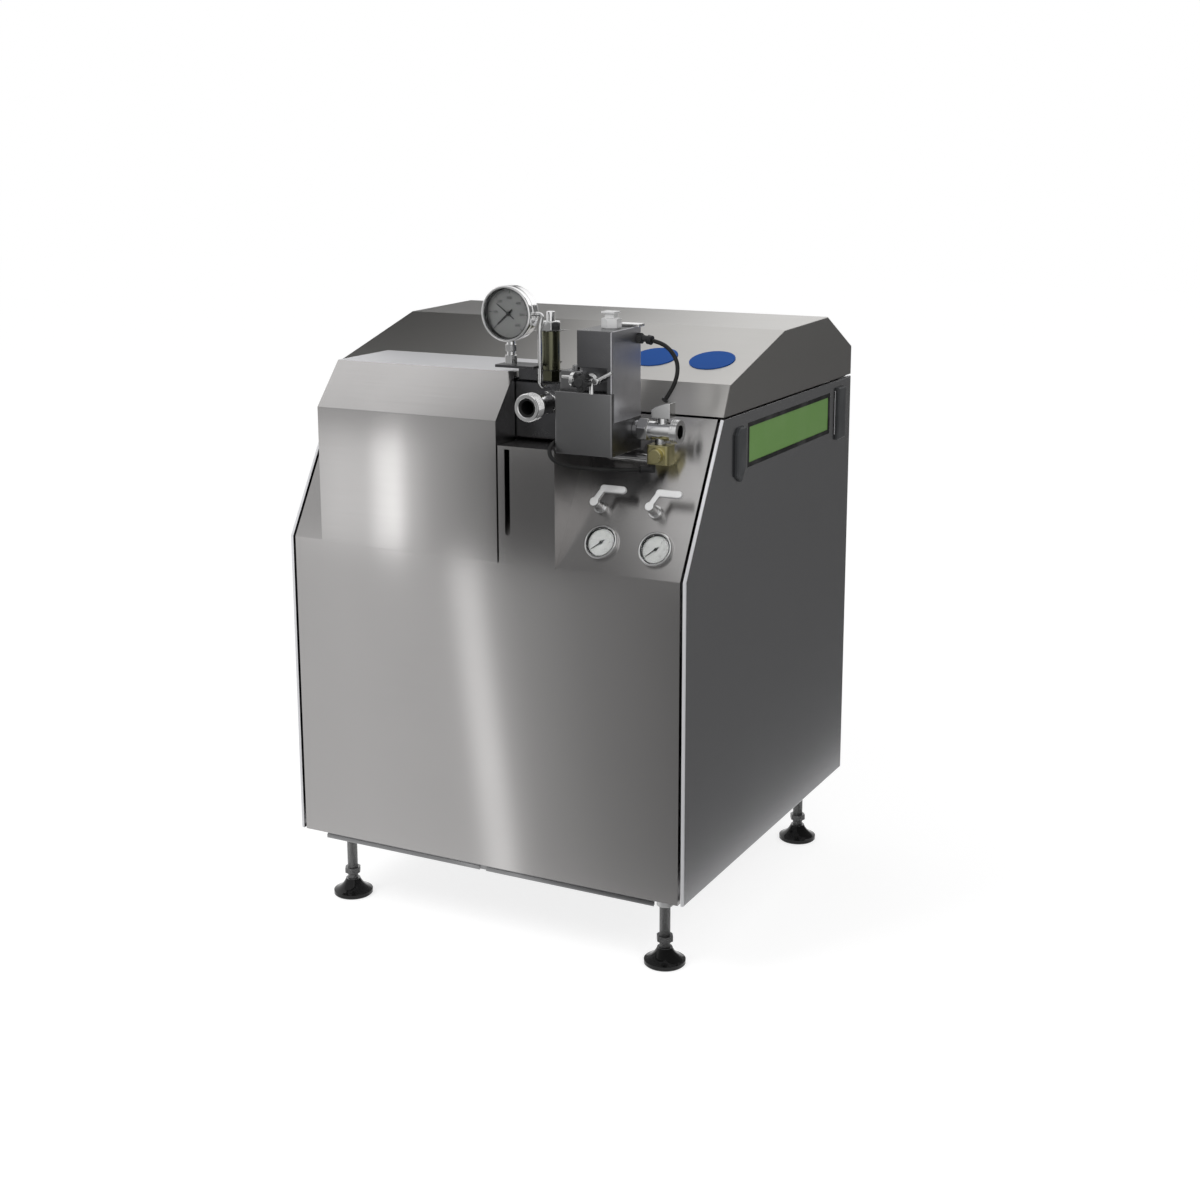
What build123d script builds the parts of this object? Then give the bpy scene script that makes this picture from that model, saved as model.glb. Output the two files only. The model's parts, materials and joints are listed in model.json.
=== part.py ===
"""Dairy homogenizer: cabinet, three-plunger pump, valve head, belt drive and fittings.

Millimetres. The origin is on the floor under the middle of the cabinet.
+X is the right-hand side seen from the front, +Y is the back, +Z is up.
"""
from build123d import *
import math
import os

# Cabinet
CABINET_WIDTH = 860.0
CABINET_DEPTH = 840.0
PANEL_LOW = 157.0
KINK_Z = 769.0
SEAM_Z = 1040.0
SLOPE_RUN = 160.0
SEAM_GAP = 4.0
SHEET = 2.0
SIDE_LIP = 7.0
PANEL_GAP = 5.5
EDGE_ROUND = 3.0
PANEL_RETURN = 12.0

# Hood outline, each point measured from the cabinet's front and the floor
HOOD_BROW = (190.0, 1098.0)
HOOD_CREST = (454.0, 1172.0)
HOOD_REAR = (693.0, 1176.0)
HOOD_REAR_LOW_Z = 1102.0
HOOD_ROUND = 4.0
HOOD_OPEN_DEG = 80.0

# Running and seating clearances
SEAT = 0.3
SLIP = 0.05
APART = 0.4
HOOD_CLEAR = 2.5

# Frame and feet
FRAME_TUBE = 40.0
FRAME_WALL = 3.0
FRAME_LOW = 131.0
FOOT_INSET_X = 72.0
FOOT_INSET_Y = 73.0
PAD_RADIUS = 40.0
PAD_RIM = 9.0
PAD_HEIGHT = 34.0
SPINDLE_RADIUS = 10.5
FOOT_TRAVEL = 15.0
COLLAR_RADIUS = 16.0
COLLAR_HEIGHT = 12.0
PAN_SHEET = 3.0
PAN_EDGE = 16.0
BEAM_LOW = 840.0
TOP_RAIL = 30.0
TOP_RAIL_INSET = 10.0
POST_HEAD = 8.0

# Box cover in front of the pump head
COVER_X = (-350.0, 47.0)
COVER_PROUD = 5.0
COVER_LOW = 766.0
COVER_BREAK = (-5.0, 1032.0)
COVER_TOP = (68.0, 1115.0)
COVER_REACH = 260.0
STUD_RADIUS = 4.0
STUD_REACH = 32.0
STUD_TAIL = 6.0
STUD_INSET = 18.0
STUD_HEIGHTS = (880.0, 960.0)
EAR = 14.0
EAR_THICK = 12.0

# Skirt box below the exposed end of the pump head
SKIRT_CLEAR = (2.0, 0.5)
SKIRT_PROUD = 2.0
SKIRT_DROP = 3.0
SLOT_IN = (14.0, 25.0)
SLOT_LOW = 820.0

# Pump head
HEAD_X = (-210.0, 168.0)
HEAD_Y = (70.0, 200.0)
HEAD_Z = (990.0, 1100.0)
HEAD_CHAMFER = 4.0
NOTCH_CLEAR = 4.0
NOTCH_REACH = (90.0, 60.0)
WELL_BEHIND_HEAD = 6.0
WELL_BEHIND_COVER = 46.0
PLUNGER_FIRST_X = -160.0
PLUNGER_PITCH = 85.0
PLUNGER_COUNT = 3
PLUNGER_RADIUS = 14.0
PLUNGER_DEPTH = 92.0
STROKE = 40.0
GLAND_RADIUS = 31.0
GLAND_LENGTH = 22.0
COUPLING_RADIUS = 21.0
COUPLING_LENGTH = 22.0
CROSSHEAD_RADIUS = 17.0
CAP_RADIUS = 27.0
CAP_LENGTH = 28.0
TOP_CAP_RADIUS = 25.0
TOP_CAP_HEIGHT = 10.0
CAP_HEX = 19.0
CAP_SOCKET = 12.0
CAP_BREAK = 2.5
TOP_CAP_BACK = 50.0
TOP_CAP_FLOOR = 3.0
PLATE_THICK = 14.0
PLATE_INSET = 30.0
PLATE_HOLE_RADIUS = 22.0

# Crankcase and drive
CRANKCASE_X = (-245.0, 95.0)
CRANKCASE_Y = (330.0, 680.0)
CRANKCASE_TOP = 1112.0
CRANKCASE_ROUND = 14.0
COVER_PLATE = 8.0
INPUT_SHAFT_Y = 600.0
INPUT_SHAFT_Z = 985.0
INPUT_SHAFT_RADIUS = 20.0
INPUT_SHAFT_DEPTH = 60.0
INPUT_BOSS_RADIUS = 58.0
INPUT_BOSS = (12.0, 20.0)
OIL_PLUG_AT = (520.0, 960.0)
OIL_PLUG_RADIUS = 26.0
BREATHER_AT = (-30.0, 600.0)
BREATHER_RADII = (9.0, 19.0)
BREATHER_HEIGHTS = (8.0, 26.0)
GUIDE_RADIUS = 30.0
GUIDE_Y = (-6.0, 9.0)
CROSSHEAD_DEPTH = 50.0
MOTOR_Y = 450.0
MOTOR_Z = 372.0
MOTOR_X = (-170.0, 220.0)
MOTOR_RADIUS = 128.0
MOTOR_FIN = 10.0
MOTOR_FINS = 28
MOTOR_SHAFT_RADIUS = 19.0
COWL_LENGTH = 72.0
TERMINAL_BOX = (120.0, 110.0, 56.0)
TERMINAL_BOX_X = 10.0
MOTOR_SEAT = 84.0
MOTOR_FEET_Y = (-110.0, 62.0)
MOTOR_FOOT_WIDTH = 48.0
SLIDE_RAIL = 22.0
MOTOR_SHAFT_DEPTH = 60.0
INLET_PASSAGE = 50.0
PULLEY_X = (-325.0, -270.0)
MOTOR_PITCH_RADIUS = 70.0
DRIVEN_PITCH_RADIUS = 150.0
GROOVE_PITCH = 16.0
GROOVE_COUNT = 3
BELT_TOP = 12.4
BELT_BASE = 8.0
BELT_HEIGHT = 8.0
BELT_ABOVE_PITCH = 2.5
GROOVE_DEPTH = 11.0

# Product inlet, a DN 25 dairy union
INLET_X = 121.0
INLET_DROP = 37.0
INLET_REACH = 90.0
INLET_THREAD_RADIUS = 26.0
INLET_THREAD_LENGTH = 21.0
INLET_TUBE_RADIUS = 19.0
INLET_BORE_RADIUS = 13.0
INLET_HEX = 38.0

# Valve blocks on the head's right end
BLOCK_WIDTH = 115.0
BLOCK_Y = (0.0, 120.0)
BLOCK_BELOW_HEAD = 8.0
BLOCK_BELOW_TOP = 5.0
TALL_WIDTH = 70.0
TALL_Y = (0.0, 118.0)
TALL_HEIGHT = 111.0
CHEEK_DROP = 53.0
CHEEK_THICK = 10.0
CHEEK_FRONT = 8.0
RECESS_HEIGHT = 45.0
RECESS_DEPTH = 22.0
SHOULDER_Y = (22.0, 110.0)
SHOULDER_HEIGHT = 35.0
BLOCK_EDGE = 1.5
CAP_NUT_IN = (31.0, 60.0)
CAP_NUT_FLATS = 32.0
CAP_NUT_HEIGHT = 18.0
CAP_HEAD_SIDE = 24.0
CAP_HEAD_HEIGHT = 12.0
CAP_PLATE = 4.0

# Outlet on the block's right side
OUTLET_Y = 95.0
OUTLET_RISE = 39.0
OUTLET_TUBE_RADIUS = 17.0
OUTLET_BORE_RADIUS = 13.0
OUTLET_NUT_FLATS = 38.0
OUTLET_REACH = 90.0
OUTLET_THREAD_RADIUS = 22.0
OUTLET_THREAD_LENGTH = 14.0
TEE_OUT = (37.0, 74.0)
BRASS_OUT = 51.0
BRASS_DROP = 25.0
BRASS_SIZE = (44.0, 32.0, 36.0)
DRAIN_RADIUS = 8.0
DRAIN_IN = 59.0
DRAIN_DROP = 14.0

# Needle valve with its star knob, and the bleed lever beside it, each placed by how far it
# stands in from the blocks' right face and up from the lower block
KNOB_OFF = (47.0, 23.0)
KNOB_RADIUS = 17.0
KNOB_LOBES = 5
KNOB_Y = (-34.0, -16.0)
LEVER_OFF = (25.0, 24.0)
LEVER_LENGTH = 36.0
LEVER_RISE_DEG = 28.0
LEVER_Y = -12.0

# Large gauge and what stands round it, with heights above the pump head
GAUGE_SPOT = (48.0, 34.0, 124.0)
GAUGE_RADIUS = 51.5
GAUGE_DEPTH = 38.0
GAUGE_RIM = 5.0
GAUGE_STEM_Y = 54.0
PLATE_X = (26.0, 106.0)
PLATE_Y = (32.0, 84.0)
PLATE_RISE = (26.0, 31.0)
CAPILLARY_RADIUS = 4.0
CAPILLARY_X = 113.0
CAPILLARY_Y = 46.0
RELIEF_AT = (112.0, 90.0)
RELIEF_RADIUS = 17.0
RELIEF_HEIGHT = 92.0
RELIEF_FOOT = 20.0

# Small gauges and hand levers on the sloping panel
SMALL_GAUGES = ((248.0, 818.0), (358.0, 816.0))
SMALL_GAUGE_RADIUS = 32.5
SMALL_GAUGE_BODY = 28.0
SMALL_GAUGE_PROUD = 9.0
SMALL_GAUGE_BACK = 30.0
REGULATORS = ((230.0, 875.0), (341.0, 876.0))
REGULATOR_RADIUS = 13.0
REGULATOR_HEIGHT = 28.0
REGULATOR_FLANGE = 7.0
REGULATOR_NECK = 9.0
REGULATOR_SPIGOT = 8.0
REGULATOR_BEHIND = 34.0
REGULATOR_SPINDLE = 3.5
HANDLE_LENGTH = 52.0
HANDLE_WIDTH = 14.0
HANDLE_THICK = 7.0
HANDLE_CRANK = (13.0, 27.0)

# Right side window
WINDOW_Y_FRONT = 280.0
WINDOW_FROM_BACK = 135.0
WINDOW_Z = (940.0, 1008.0)
WINDOW_SEAL = 8.0
WINDOW_RECESS = 1.5
PANE = 4.0
FRONT_BAR_Y = (212.0, 252.0)
FRONT_BAR_Z = (912.0, 1014.0)
REAR_BAR_FROM_BACK = (90.0, 48.0)
REAR_BAR_Z = (912.0, 1022.0)
BAR_PROUD = 7.0

# Blue discs on the hood
DISCS = ((228.0, 292.0), (347.0, 292.0))
DISC_RADIUS = 44.0
DISC_THICK = 1.5

# Hinges
HINGE_X = (-250.0, 250.0)
HINGE_LENGTH = 90.0
HINGE_BARREL = 6.0
HINGE_PIN = 3.0
HINGE_LEAF = 34.0
HINGE_AXIS_BACK = 7.0

# Vents and cable entry
LOUVRE_XS = (-190.0, 190.0)
LOUVRE_HALF = 110.0
LOUVRE_LOW = 330.0
LOUVRE_PITCH = 30.0
LOUVRE_HEIGHT = 9.0
LOUVRE_COUNT = 6
FLOOR_VENT_XS = (-180.0, 0.0, 180.0)
FLOOR_VENT_HALF = 60.0
FLOOR_VENT_BACK = (200.0, 140.0)
CABLE_AT = (320.0, 230.0)
CABLE_NECK_RADIUS = 12.0
CABLE_BORE_RADIUS = 6.0

# Hoses, their control points chosen by hand: out from the blocks' right face (the lower
# hose's first four: out from the head's right end), back from the front, and up
HOSE_RADIUS = 3.8
UPPER_HOSE = [
    (29, 103, 1182), (45, 102, 1179), (61, 100, 1172), (74, 98, 1160), (82, 97, 1145),
    (83, 96, 1128), (79, 95, 1111), (71, 95, 1095), (61, 95, 1080),
]
LOWER_HOSE_START = [(-7, 52, 1003), (-7, 34, 1003), (-7, 16, 1001), (-7, 0, 996)]
LOWER_HOSE_REST = [
    (-120, -13, 988), (-113, -21, 978), (-101, -22, 970), (-86, -16, 964), (-69, -5, 960),
    (-50, 9, 957), (-30, 24, 955), (-10, 40, 953), (8, 55, 952), (23, 67, 952),
]

SKIRT_X = (COVER_X[1] + SKIRT_CLEAR[0], HEAD_X[1] - SKIRT_CLEAR[1])
SKIRT_TOP = HEAD_Z[0] - SKIRT_DROP
SLOT_X = (SKIRT_X[0] + SLOT_IN[0], SKIRT_X[0] + SLOT_IN[1])
INLET_Z = HEAD_Z[1] - INLET_DROP
BLOCK_X = (HEAD_X[1], HEAD_X[1] + BLOCK_WIDTH)
BLOCK_Z = (HEAD_Z[0] - BLOCK_BELOW_HEAD, HEAD_Z[1] - BLOCK_BELOW_TOP)
TALL_X = (BLOCK_X[1] - TALL_WIDTH, BLOCK_X[1])
OUTLET_Z = BLOCK_Z[0] + OUTLET_RISE
TEE_X = (BLOCK_X[1] + TEE_OUT[0], BLOCK_X[1] + TEE_OUT[1])
BRASS_X = BLOCK_X[1] + BRASS_OUT
BRASS_TOP = OUTLET_Z - BRASS_DROP
KNOB_AT = (BLOCK_X[1] - KNOB_OFF[0], BLOCK_Z[1] + KNOB_OFF[1])
LEVER_AT = (BLOCK_X[1] - LEVER_OFF[0], BLOCK_Z[1] + LEVER_OFF[1])
GAUGE_AT = (GAUGE_SPOT[0], GAUGE_SPOT[1], HEAD_Z[1] + GAUGE_SPOT[2])
PLATE_Z = (HEAD_Z[1] + PLATE_RISE[0], HEAD_Z[1] + PLATE_RISE[1])
RELIEF_TOP = HEAD_Z[1] + RELIEF_HEIGHT
WINDOW_Y = (WINDOW_Y_FRONT, CABINET_DEPTH - WINDOW_FROM_BACK)
REAR_BAR_Y = tuple(CABINET_DEPTH - y for y in REAR_BAR_FROM_BACK)
HALF_WIDTH = CABINET_WIDTH / 2
FRONT = -CABINET_DEPTH / 2
BACK = CABINET_DEPTH / 2
BODY_TOP = SEAM_Z - SEAM_GAP / 2
HOOD_LOW = SEAM_Z + SEAM_GAP / 2
SLOPE_ANGLE = math.atan2(SLOPE_RUN, SEAM_Z - KINK_Z)
PANEL_HALF = HALF_WIDTH - SIDE_LIP - PANEL_GAP
PLUNGER_XS = [PLUNGER_FIRST_X + PLUNGER_PITCH * i for i in range(PLUNGER_COUNT)]
PLUNGER_Z = (HEAD_Z[0] + HEAD_Z[1]) / 2
TALL_TOP = BLOCK_Z[1] + TALL_HEIGHT
CHEEK_LOW = BLOCK_Z[1] - CHEEK_DROP
RECESS_TOP = BLOCK_Z[1] + RECESS_HEIGHT
SHOULDER_TOP = BLOCK_Z[1] + SHOULDER_HEIGHT
FRAME_TOP = FRAME_LOW + FRAME_TUBE
PAN_TOP = FRAME_TOP + PAN_SHEET


def at_y(y):
    """Model Y of a distance behind the cabinet's front."""
    return FRONT + y


def block(x, y, z):
    """A box between low and high values, with y measured from the cabinet's front."""
    size = (x[1] - x[0], y[1] - y[0], z[1] - z[0])
    middle = ((x[0] + x[1]) / 2, at_y((y[0] + y[1]) / 2), (z[0] + z[1]) / 2)
    return Pos(*middle) * Box(*size)


def rod(radius, start, end):
    """A round bar between two points of the model."""
    run = Vector(*end) - Vector(*start)
    lower = (Align.CENTER, Align.CENTER, Align.MIN)
    return Plane(origin=start, z_dir=run) * Cylinder(radius, run.length, align=lower)


def hexagon(flats, start, end, turn=0.0):
    """A hexagonal bar, measured across its flats, between two points."""
    run = Vector(*end) - Vector(*start)
    outline = Rot(0, 0, turn) * RegularPolygon(flats / 2, 6, major_radius=False)
    return extrude(Plane(origin=start, z_dir=run) * outline, amount=run.length)


def nut(flats, start, end, turn=0.0, ends=(0, 1)):
    """A hexagonal bar with its corners turned off at its first end, its far end or both."""
    run = Vector(*end) - Vector(*start)
    corner = flats / 2 / math.cos(math.pi / 6)
    turned = corner - flats / 2
    slope = turned * math.tan(math.pi / 6)
    points = [(0, 0), (corner, 0), (corner, run.length), (0, run.length)]
    if 1 in ends:
        points[2:3] = [(corner, run.length - slope), (corner - turned, run.length)]
    if 0 in ends:
        points[1:2] = [(corner - turned, 0), (corner, slope)]
    outline = make_face(Polyline(*[(radius, 0, height) for radius, height in points], close=True))
    barrel = Plane(origin=start, z_dir=run) * revolve(outline, Axis.Z)
    return hexagon(flats, start, end, turn) & barrel


def side_profile(points, x):
    """A closed outline of (distance from front, height) points, extruded between two X values."""
    outline = make_face(Polyline(*[(at_y(y), z) for y, z in points], close=True))
    return extrude(Plane.YZ.offset(x[0]) * outline, amount=x[1] - x[0])


def slope_y(z, inward=0.0):
    """Distance from the front to the sloping panel at a height, moved inward square to it."""
    return (z - KINK_Z) * math.tan(SLOPE_ANGLE) + inward / math.cos(SLOPE_ANGLE)


def front_line(inward, low, high):
    """The cabinet's front in side view, from low to high, moved inward by a distance."""
    kink = KINK_Z - inward * (1 / math.cos(SLOPE_ANGLE) - 1) / math.tan(SLOPE_ANGLE)
    return [(inward, low), (inward, kink), (slope_y(high, inward), high)]


def body_profile(inward=0.0, low=PANEL_LOW, high=BODY_TOP):
    """The cabinet's closed side outline below the seam."""
    line = front_line(inward, low, high)
    return line + [(CABINET_DEPTH - inward, high), (CABINET_DEPTH - inward, low)]


def hood_points(low):
    """The hood's closed side outline down to a height."""
    return [
        (SLOPE_RUN, low), (SLOPE_RUN, SEAM_Z), HOOD_BROW, HOOD_CREST, HOOD_REAR,
        (CABINET_DEPTH, HOOD_REAR_LOW_Z), (CABINET_DEPTH, low),
    ]


def grown(points, amount, x):
    """A side outline moved outward by an amount, extruded between two X values."""
    outline = make_face(Polyline(*[(at_y(y), z) for y, z in points], close=True))
    outline = offset(outline, amount=amount, kind=Kind.INTERSECTION)
    return extrude(Plane.YZ.offset(x[0]) * outline, amount=x[1] - x[0])


def on_slope(x, z, out=0.0):
    """A point on the sloping panel, or out from it along its normal."""
    normal = slope_normal()
    return Vector(x, at_y(slope_y(z)), z) + normal * out


def slope_normal():
    """The sloping panel's outward normal."""
    return Vector(0, -math.cos(SLOPE_ANGLE), math.sin(SLOPE_ANGLE))


def slope_plane(x, z, out=0.0):
    """A plane on the sloping panel, its X along the machine's and its Z outward."""
    return Plane(origin=on_slope(x, z, out), x_dir=(1, 0, 0), z_dir=slope_normal())


def tube_bar(x, y, z):
    """A square frame tube between low and high values, open at its two ends."""
    spans = [x[1] - x[0], y[1] - y[0], z[1] - z[0]]
    along = spans.index(max(spans))
    ranges = [x, y, z]
    hollow = []
    for i, (low, high) in enumerate(ranges):
        step = -1.0 if i == along else FRAME_WALL
        hollow.append((low + step, high - step))
    return block(x, y, z) - block(*hollow)


def frame():
    """Base ring on the feet, posts, top rails and the bearers that carry the crankcase."""
    foot_x = HALF_WIDTH - FOOT_INSET_X
    half = FRAME_TUBE / 2
    base_z = (FRAME_LOW, FRAME_TOP)
    near = (FOOT_INSET_Y - half, FOOT_INSET_Y + half)
    far = (CABINET_DEPTH - near[1], CABINET_DEPTH - near[0])
    post_near = post_spans()[0]
    post_far = post_spans()[1]
    post_out = HALF_WIDTH - SHEET - SEAT
    post_x = (post_out - FRAME_TUBE, post_out)
    rail_x = (HALF_WIDTH - TOP_RAIL_INSET - TOP_RAIL, HALF_WIDTH - TOP_RAIL_INSET)
    rail_z = (BODY_TOP - POST_HEAD - TOP_RAIL, BODY_TOP - POST_HEAD)
    beam_z = (BEAM_LOW, BEAM_LOW + FRAME_TUBE)
    between = (-post_x[0], post_x[0])
    solids = []
    for y in (near, far):
        rail = tube_bar((-foot_x - half, foot_x + half), y, base_z)
        for side in (-1, 1):
            foot_at = (side * foot_x, at_y(sum(y) / 2))
            hole = rod(SPINDLE_RADIUS + SLIP, (*foot_at, 0), (*foot_at, FRAME_LOW + FRAME_WALL + 1))
            rail -= hole
            collar = rod(COLLAR_RADIUS, (*foot_at, FRAME_LOW - COLLAR_HEIGHT), (*foot_at, FRAME_LOW))
            solids.append(collar - hole)
        solids.append(rail)
    for side in (-1, 1):
        x = sorted((side * (foot_x - half), side * (foot_x + half)))
        solids.append(tube_bar(x, (near[1], far[0]), base_z))
        post = sorted((side * post_x[0], side * post_x[1]))
        stub = sorted((side * (foot_x + half), side * (HALF_WIDTH - SIDE_LIP - SEAT)))
        for y in (post_near, post_far):
            solids.append(tube_bar(post, y, (PAN_TOP, rail_z[1])))
            solids.append(tube_bar(stub, y, (PANEL_LOW, FRAME_TOP)))
        rail = sorted((side * rail_x[0], side * rail_x[1]))
        solids.append(tube_bar(rail, (post_near[1], post_far[0]), rail_z))
    solids.append(tube_bar(between, post_near, beam_z))
    solids.append(tube_bar(between, post_far, beam_z))
    solids.append(tube_bar(between, post_far, rail_z))
    for x in (CRANKCASE_X[0] + half, CRANKCASE_X[1] - half):
        solids.append(tube_bar((x - half, x + half), (post_near[1], post_far[0]), beam_z))
    return solids


def post_spans():
    """Where the front and the rear posts stand, from the front: close behind the panels' returns."""
    near = slope_y(BODY_TOP, PANEL_RETURN) + SEAT
    far = CABINET_DEPTH - PANEL_RETURN - SEAT
    return (near, near + FRAME_TUBE), (far - FRAME_TUBE, far)


def foot(side_x, side_y):
    """A levelling foot: a domed pad and its spindle, two solids."""
    x = side_x * (HALF_WIDTH - FOOT_INSET_X)
    y = side_y * (CABINET_DEPTH / 2 - FOOT_INSET_Y)
    with BuildSketch(Plane.XZ) as section:
        with BuildLine():
            Polyline((0, 0), (PAD_RADIUS - 2, 0), (PAD_RADIUS, 2), (PAD_RADIUS, PAD_RIM))
            ThreePointArc((PAD_RADIUS, PAD_RIM), (PAD_RADIUS * 0.62, PAD_RIM + 9),
                          (SPINDLE_RADIUS + 4, PAD_HEIGHT))
            Polyline((SPINDLE_RADIUS + 4, PAD_HEIGHT), (0, PAD_HEIGHT), (0, 0))
        make_face()
    pad = Pos(x, y, 0) * revolve(section.sketch, Axis.Z)
    spindle = rod(SPINDLE_RADIUS, (x, y, PAD_HEIGHT), (x, y, FRAME_TOP - FRAME_WALL - FOOT_TRAVEL - 2))
    lock = nut(30.0, (x, y, PAD_HEIGHT + 12), (x, y, PAD_HEIGHT + 24)) - spindle
    return [pad, spindle, lock]


def floor_pan():
    """Tray on the base ring that the panels' lower edges close on."""
    out_x = PANEL_HALF - SHEET - SEAT
    y = (SHEET + SEAT, CABINET_DEPTH - SHEET - SEAT)
    pan = block((-out_x, out_x), y, (FRAME_TOP, PAN_TOP + PAN_EDGE))
    inner_y = (y[0] + PAN_SHEET, y[1] - PAN_SHEET)
    pan -= block((-out_x + PAN_SHEET, out_x - PAN_SHEET), inner_y, (PAN_TOP, PAN_TOP + 2 * PAN_EDGE))
    for side in (-1, 1):
        x = sorted((side * (out_x - FRAME_TUBE), side * (out_x + 1)))
        for near, far in post_spans():
            pan -= block(x, (near - 1, far + 1), (PAN_TOP, PAN_TOP + 2 * PAN_EDGE))
    vent_y = [CABINET_DEPTH - y for y in FLOOR_VENT_BACK]
    for x in FLOOR_VENT_XS:
        pan -= block((x - FLOOR_VENT_HALF, x + FLOOR_VENT_HALF), vent_y, (FRAME_TOP - 1, PAN_TOP + 1))
    return pan


def head_notch():
    """The room that the front panel leaves for the pump head and its side plates."""
    x = (HEAD_X[0] - NOTCH_CLEAR * 2, HEAD_X[1] + NOTCH_CLEAR)
    y = (HEAD_Y[0] - NOTCH_REACH[0], HEAD_Y[1] + NOTCH_REACH[1])
    return block(x, y, (HEAD_Z[0] - NOTCH_CLEAR, BODY_TOP + 10))


def front_panel():
    """Bent front sheet with side returns, a notch and holes, and the cover's four studs."""
    outer = front_line(0.0, PANEL_LOW, BODY_TOP)
    deep = front_line(PANEL_RETURN, PANEL_LOW, BODY_TOP)
    inner = front_line(SHEET, PANEL_LOW - 1, BODY_TOP + 1)
    deeper = front_line(PANEL_RETURN + 1, PANEL_LOW - 1, BODY_TOP + 1)
    panel = side_profile(outer + deep[::-1], (-PANEL_HALF, PANEL_HALF))
    panel -= side_profile(inner + deeper[::-1], (-PANEL_HALF + SHEET, PANEL_HALF - SHEET))
    panel -= head_notch()
    for x, z in SMALL_GAUGES:
        panel -= slope_plane(x, z) * Cylinder(SMALL_GAUGE_BODY + APART, 4 * SHEET)
    for x, z in REGULATORS:
        panel -= slope_plane(x, z) * Cylinder(REGULATOR_SPIGOT + APART, 4 * SHEET)
    studs = []
    for x in stud_xs():
        for z in STUD_HEIGHTS:
            y = slope_y(z)
            panel -= rod(STUD_RADIUS + SLIP, (x, at_y(y - 9), z), (x, at_y(y + 9), z))
            studs.append(rod(STUD_RADIUS, (x, at_y(y + STUD_TAIL), z), (x, at_y(y - STUD_REACH), z)))
    return [panel] + studs


def stud_xs():
    """Where the cover's locating studs stand, inside its two cheeks."""
    return (COVER_X[0] + STUD_INSET, COVER_X[1] - STUD_INSET)


def side_panel(side):
    """A shallow tray with rounded outer edges; the right one carries the window's cut-out."""
    outer_x = sorted((side * (HALF_WIDTH - SIDE_LIP), side * HALF_WIDTH))
    panel = side_profile(body_profile(), outer_x)
    face = panel.faces().sort_by(Axis.X)[-1 if side > 0 else 0]
    panel = fillet(face.edges(), EDGE_ROUND)
    inner_x = sorted((side * (HALF_WIDTH - SIDE_LIP - 1), side * (HALF_WIDTH - SHEET)))
    panel -= grown(body_profile(), -SHEET, inner_x)
    if side > 0:
        panel -= window_opening()
    return panel


def window_opening():
    """The hole for the pane and its seal, and the narrow slot beside the rear bar."""
    y = (WINDOW_Y[0] - WINDOW_SEAL, WINDOW_Y[1] + WINDOW_SEAL)
    z = (WINDOW_Z[0] - WINDOW_SEAL, WINDOW_Z[1] + WINDOW_SEAL)
    x = (HALF_WIDTH - 2 * SIDE_LIP, HALF_WIDTH + 1)
    slot = block(x, (REAR_BAR_Y[0] - 12, REAR_BAR_Y[0] - 4), (REAR_BAR_Z[0] + 12, REAR_BAR_Z[1] - 6))
    return block(x, y, z) + slot


def window_pane():
    """Green pane, a little below the panel's face."""
    out = HALF_WIDTH - WINDOW_RECESS
    return block((out - PANE, out), WINDOW_Y, WINDOW_Z)


def window_seal():
    """Black rubber frame between pane and panel."""
    y = (WINDOW_Y[0] - WINDOW_SEAL, WINDOW_Y[1] + WINDOW_SEAL)
    z = (WINDOW_Z[0] - WINDOW_SEAL, WINDOW_Z[1] + WINDOW_SEAL)
    x = (HALF_WIDTH - WINDOW_RECESS - PANE, HALF_WIDTH)
    return block(x, y, z) - block((x[0] - 1, x[1] + 1), WINDOW_Y, WINDOW_Z)


def window_bars():
    """Two dark bars on the panel at the window's ends, the front one pointed below."""
    y0, y1 = FRONT_BAR_Y
    z0, z1 = FRONT_BAR_Z
    x = (HALF_WIDTH, HALF_WIDTH + BAR_PROUD)
    pointed = side_profile([(y0, z1 - 12), (y0, z0 + 12), ((y0 + y1) / 2, z0),
                            (y1, z0 + 26), (y1, z1), (y0 + 12, z1)], x)
    straight = block(x, REAR_BAR_Y, REAR_BAR_Z)
    bars = []
    for bar in (pointed, straight):
        bars.append(chamfer(bar.faces().sort_by(Axis.X)[-1].edges(), 2.5))
    return bars


def rear_panel():
    """Flat rear sheet with side returns, two fields of louvre slots and the gland's hole."""
    y = (CABINET_DEPTH - PANEL_RETURN, CABINET_DEPTH)
    panel = block((-PANEL_HALF, PANEL_HALF), y, (PANEL_LOW, BODY_TOP))
    inner = (y[0] - 1, y[1] - SHEET)
    half = PANEL_HALF - SHEET
    panel -= block((-half, half), inner, (PANEL_LOW - 1, BODY_TOP + 1))
    for x in LOUVRE_XS:
        for i in range(LOUVRE_COUNT):
            z = LOUVRE_LOW + LOUVRE_PITCH * i
            slot_x = (x - LOUVRE_HALF, x + LOUVRE_HALF)
            panel -= block(slot_x, (CABINET_DEPTH - 9, CABINET_DEPTH + 1), (z, z + LOUVRE_HEIGHT))
    x, z = CABLE_AT
    return panel - rod(CABLE_NECK_RADIUS + APART, (x, BACK - 9, z), (x, BACK + 1, z))


def cable_gland():
    """Cable gland through the rear panel: inner nut, body and dome nut in one solid."""
    x, z = CABLE_AT
    neck = CABLE_NECK_RADIUS
    gland = rod(neck, (x, BACK - 16, z), (x, BACK + 9, z))
    gland += nut(2 * neck + 6, (x, BACK + SEAT, z), (x, BACK + 8, z))
    gland += nut(2 * neck + 3, (x, BACK + 9, z), (x, BACK + 20, z))
    gland += rod(neck, (x, BACK + 20, z), (x, BACK + 26, z))
    gland += nut(2 * neck + 6, (x, BACK - 12, z), (x, BACK - SHEET - SEAT, z))
    return gland - rod(CABLE_BORE_RADIUS, (x, BACK - 20, z), (x, BACK + 30, z))


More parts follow.
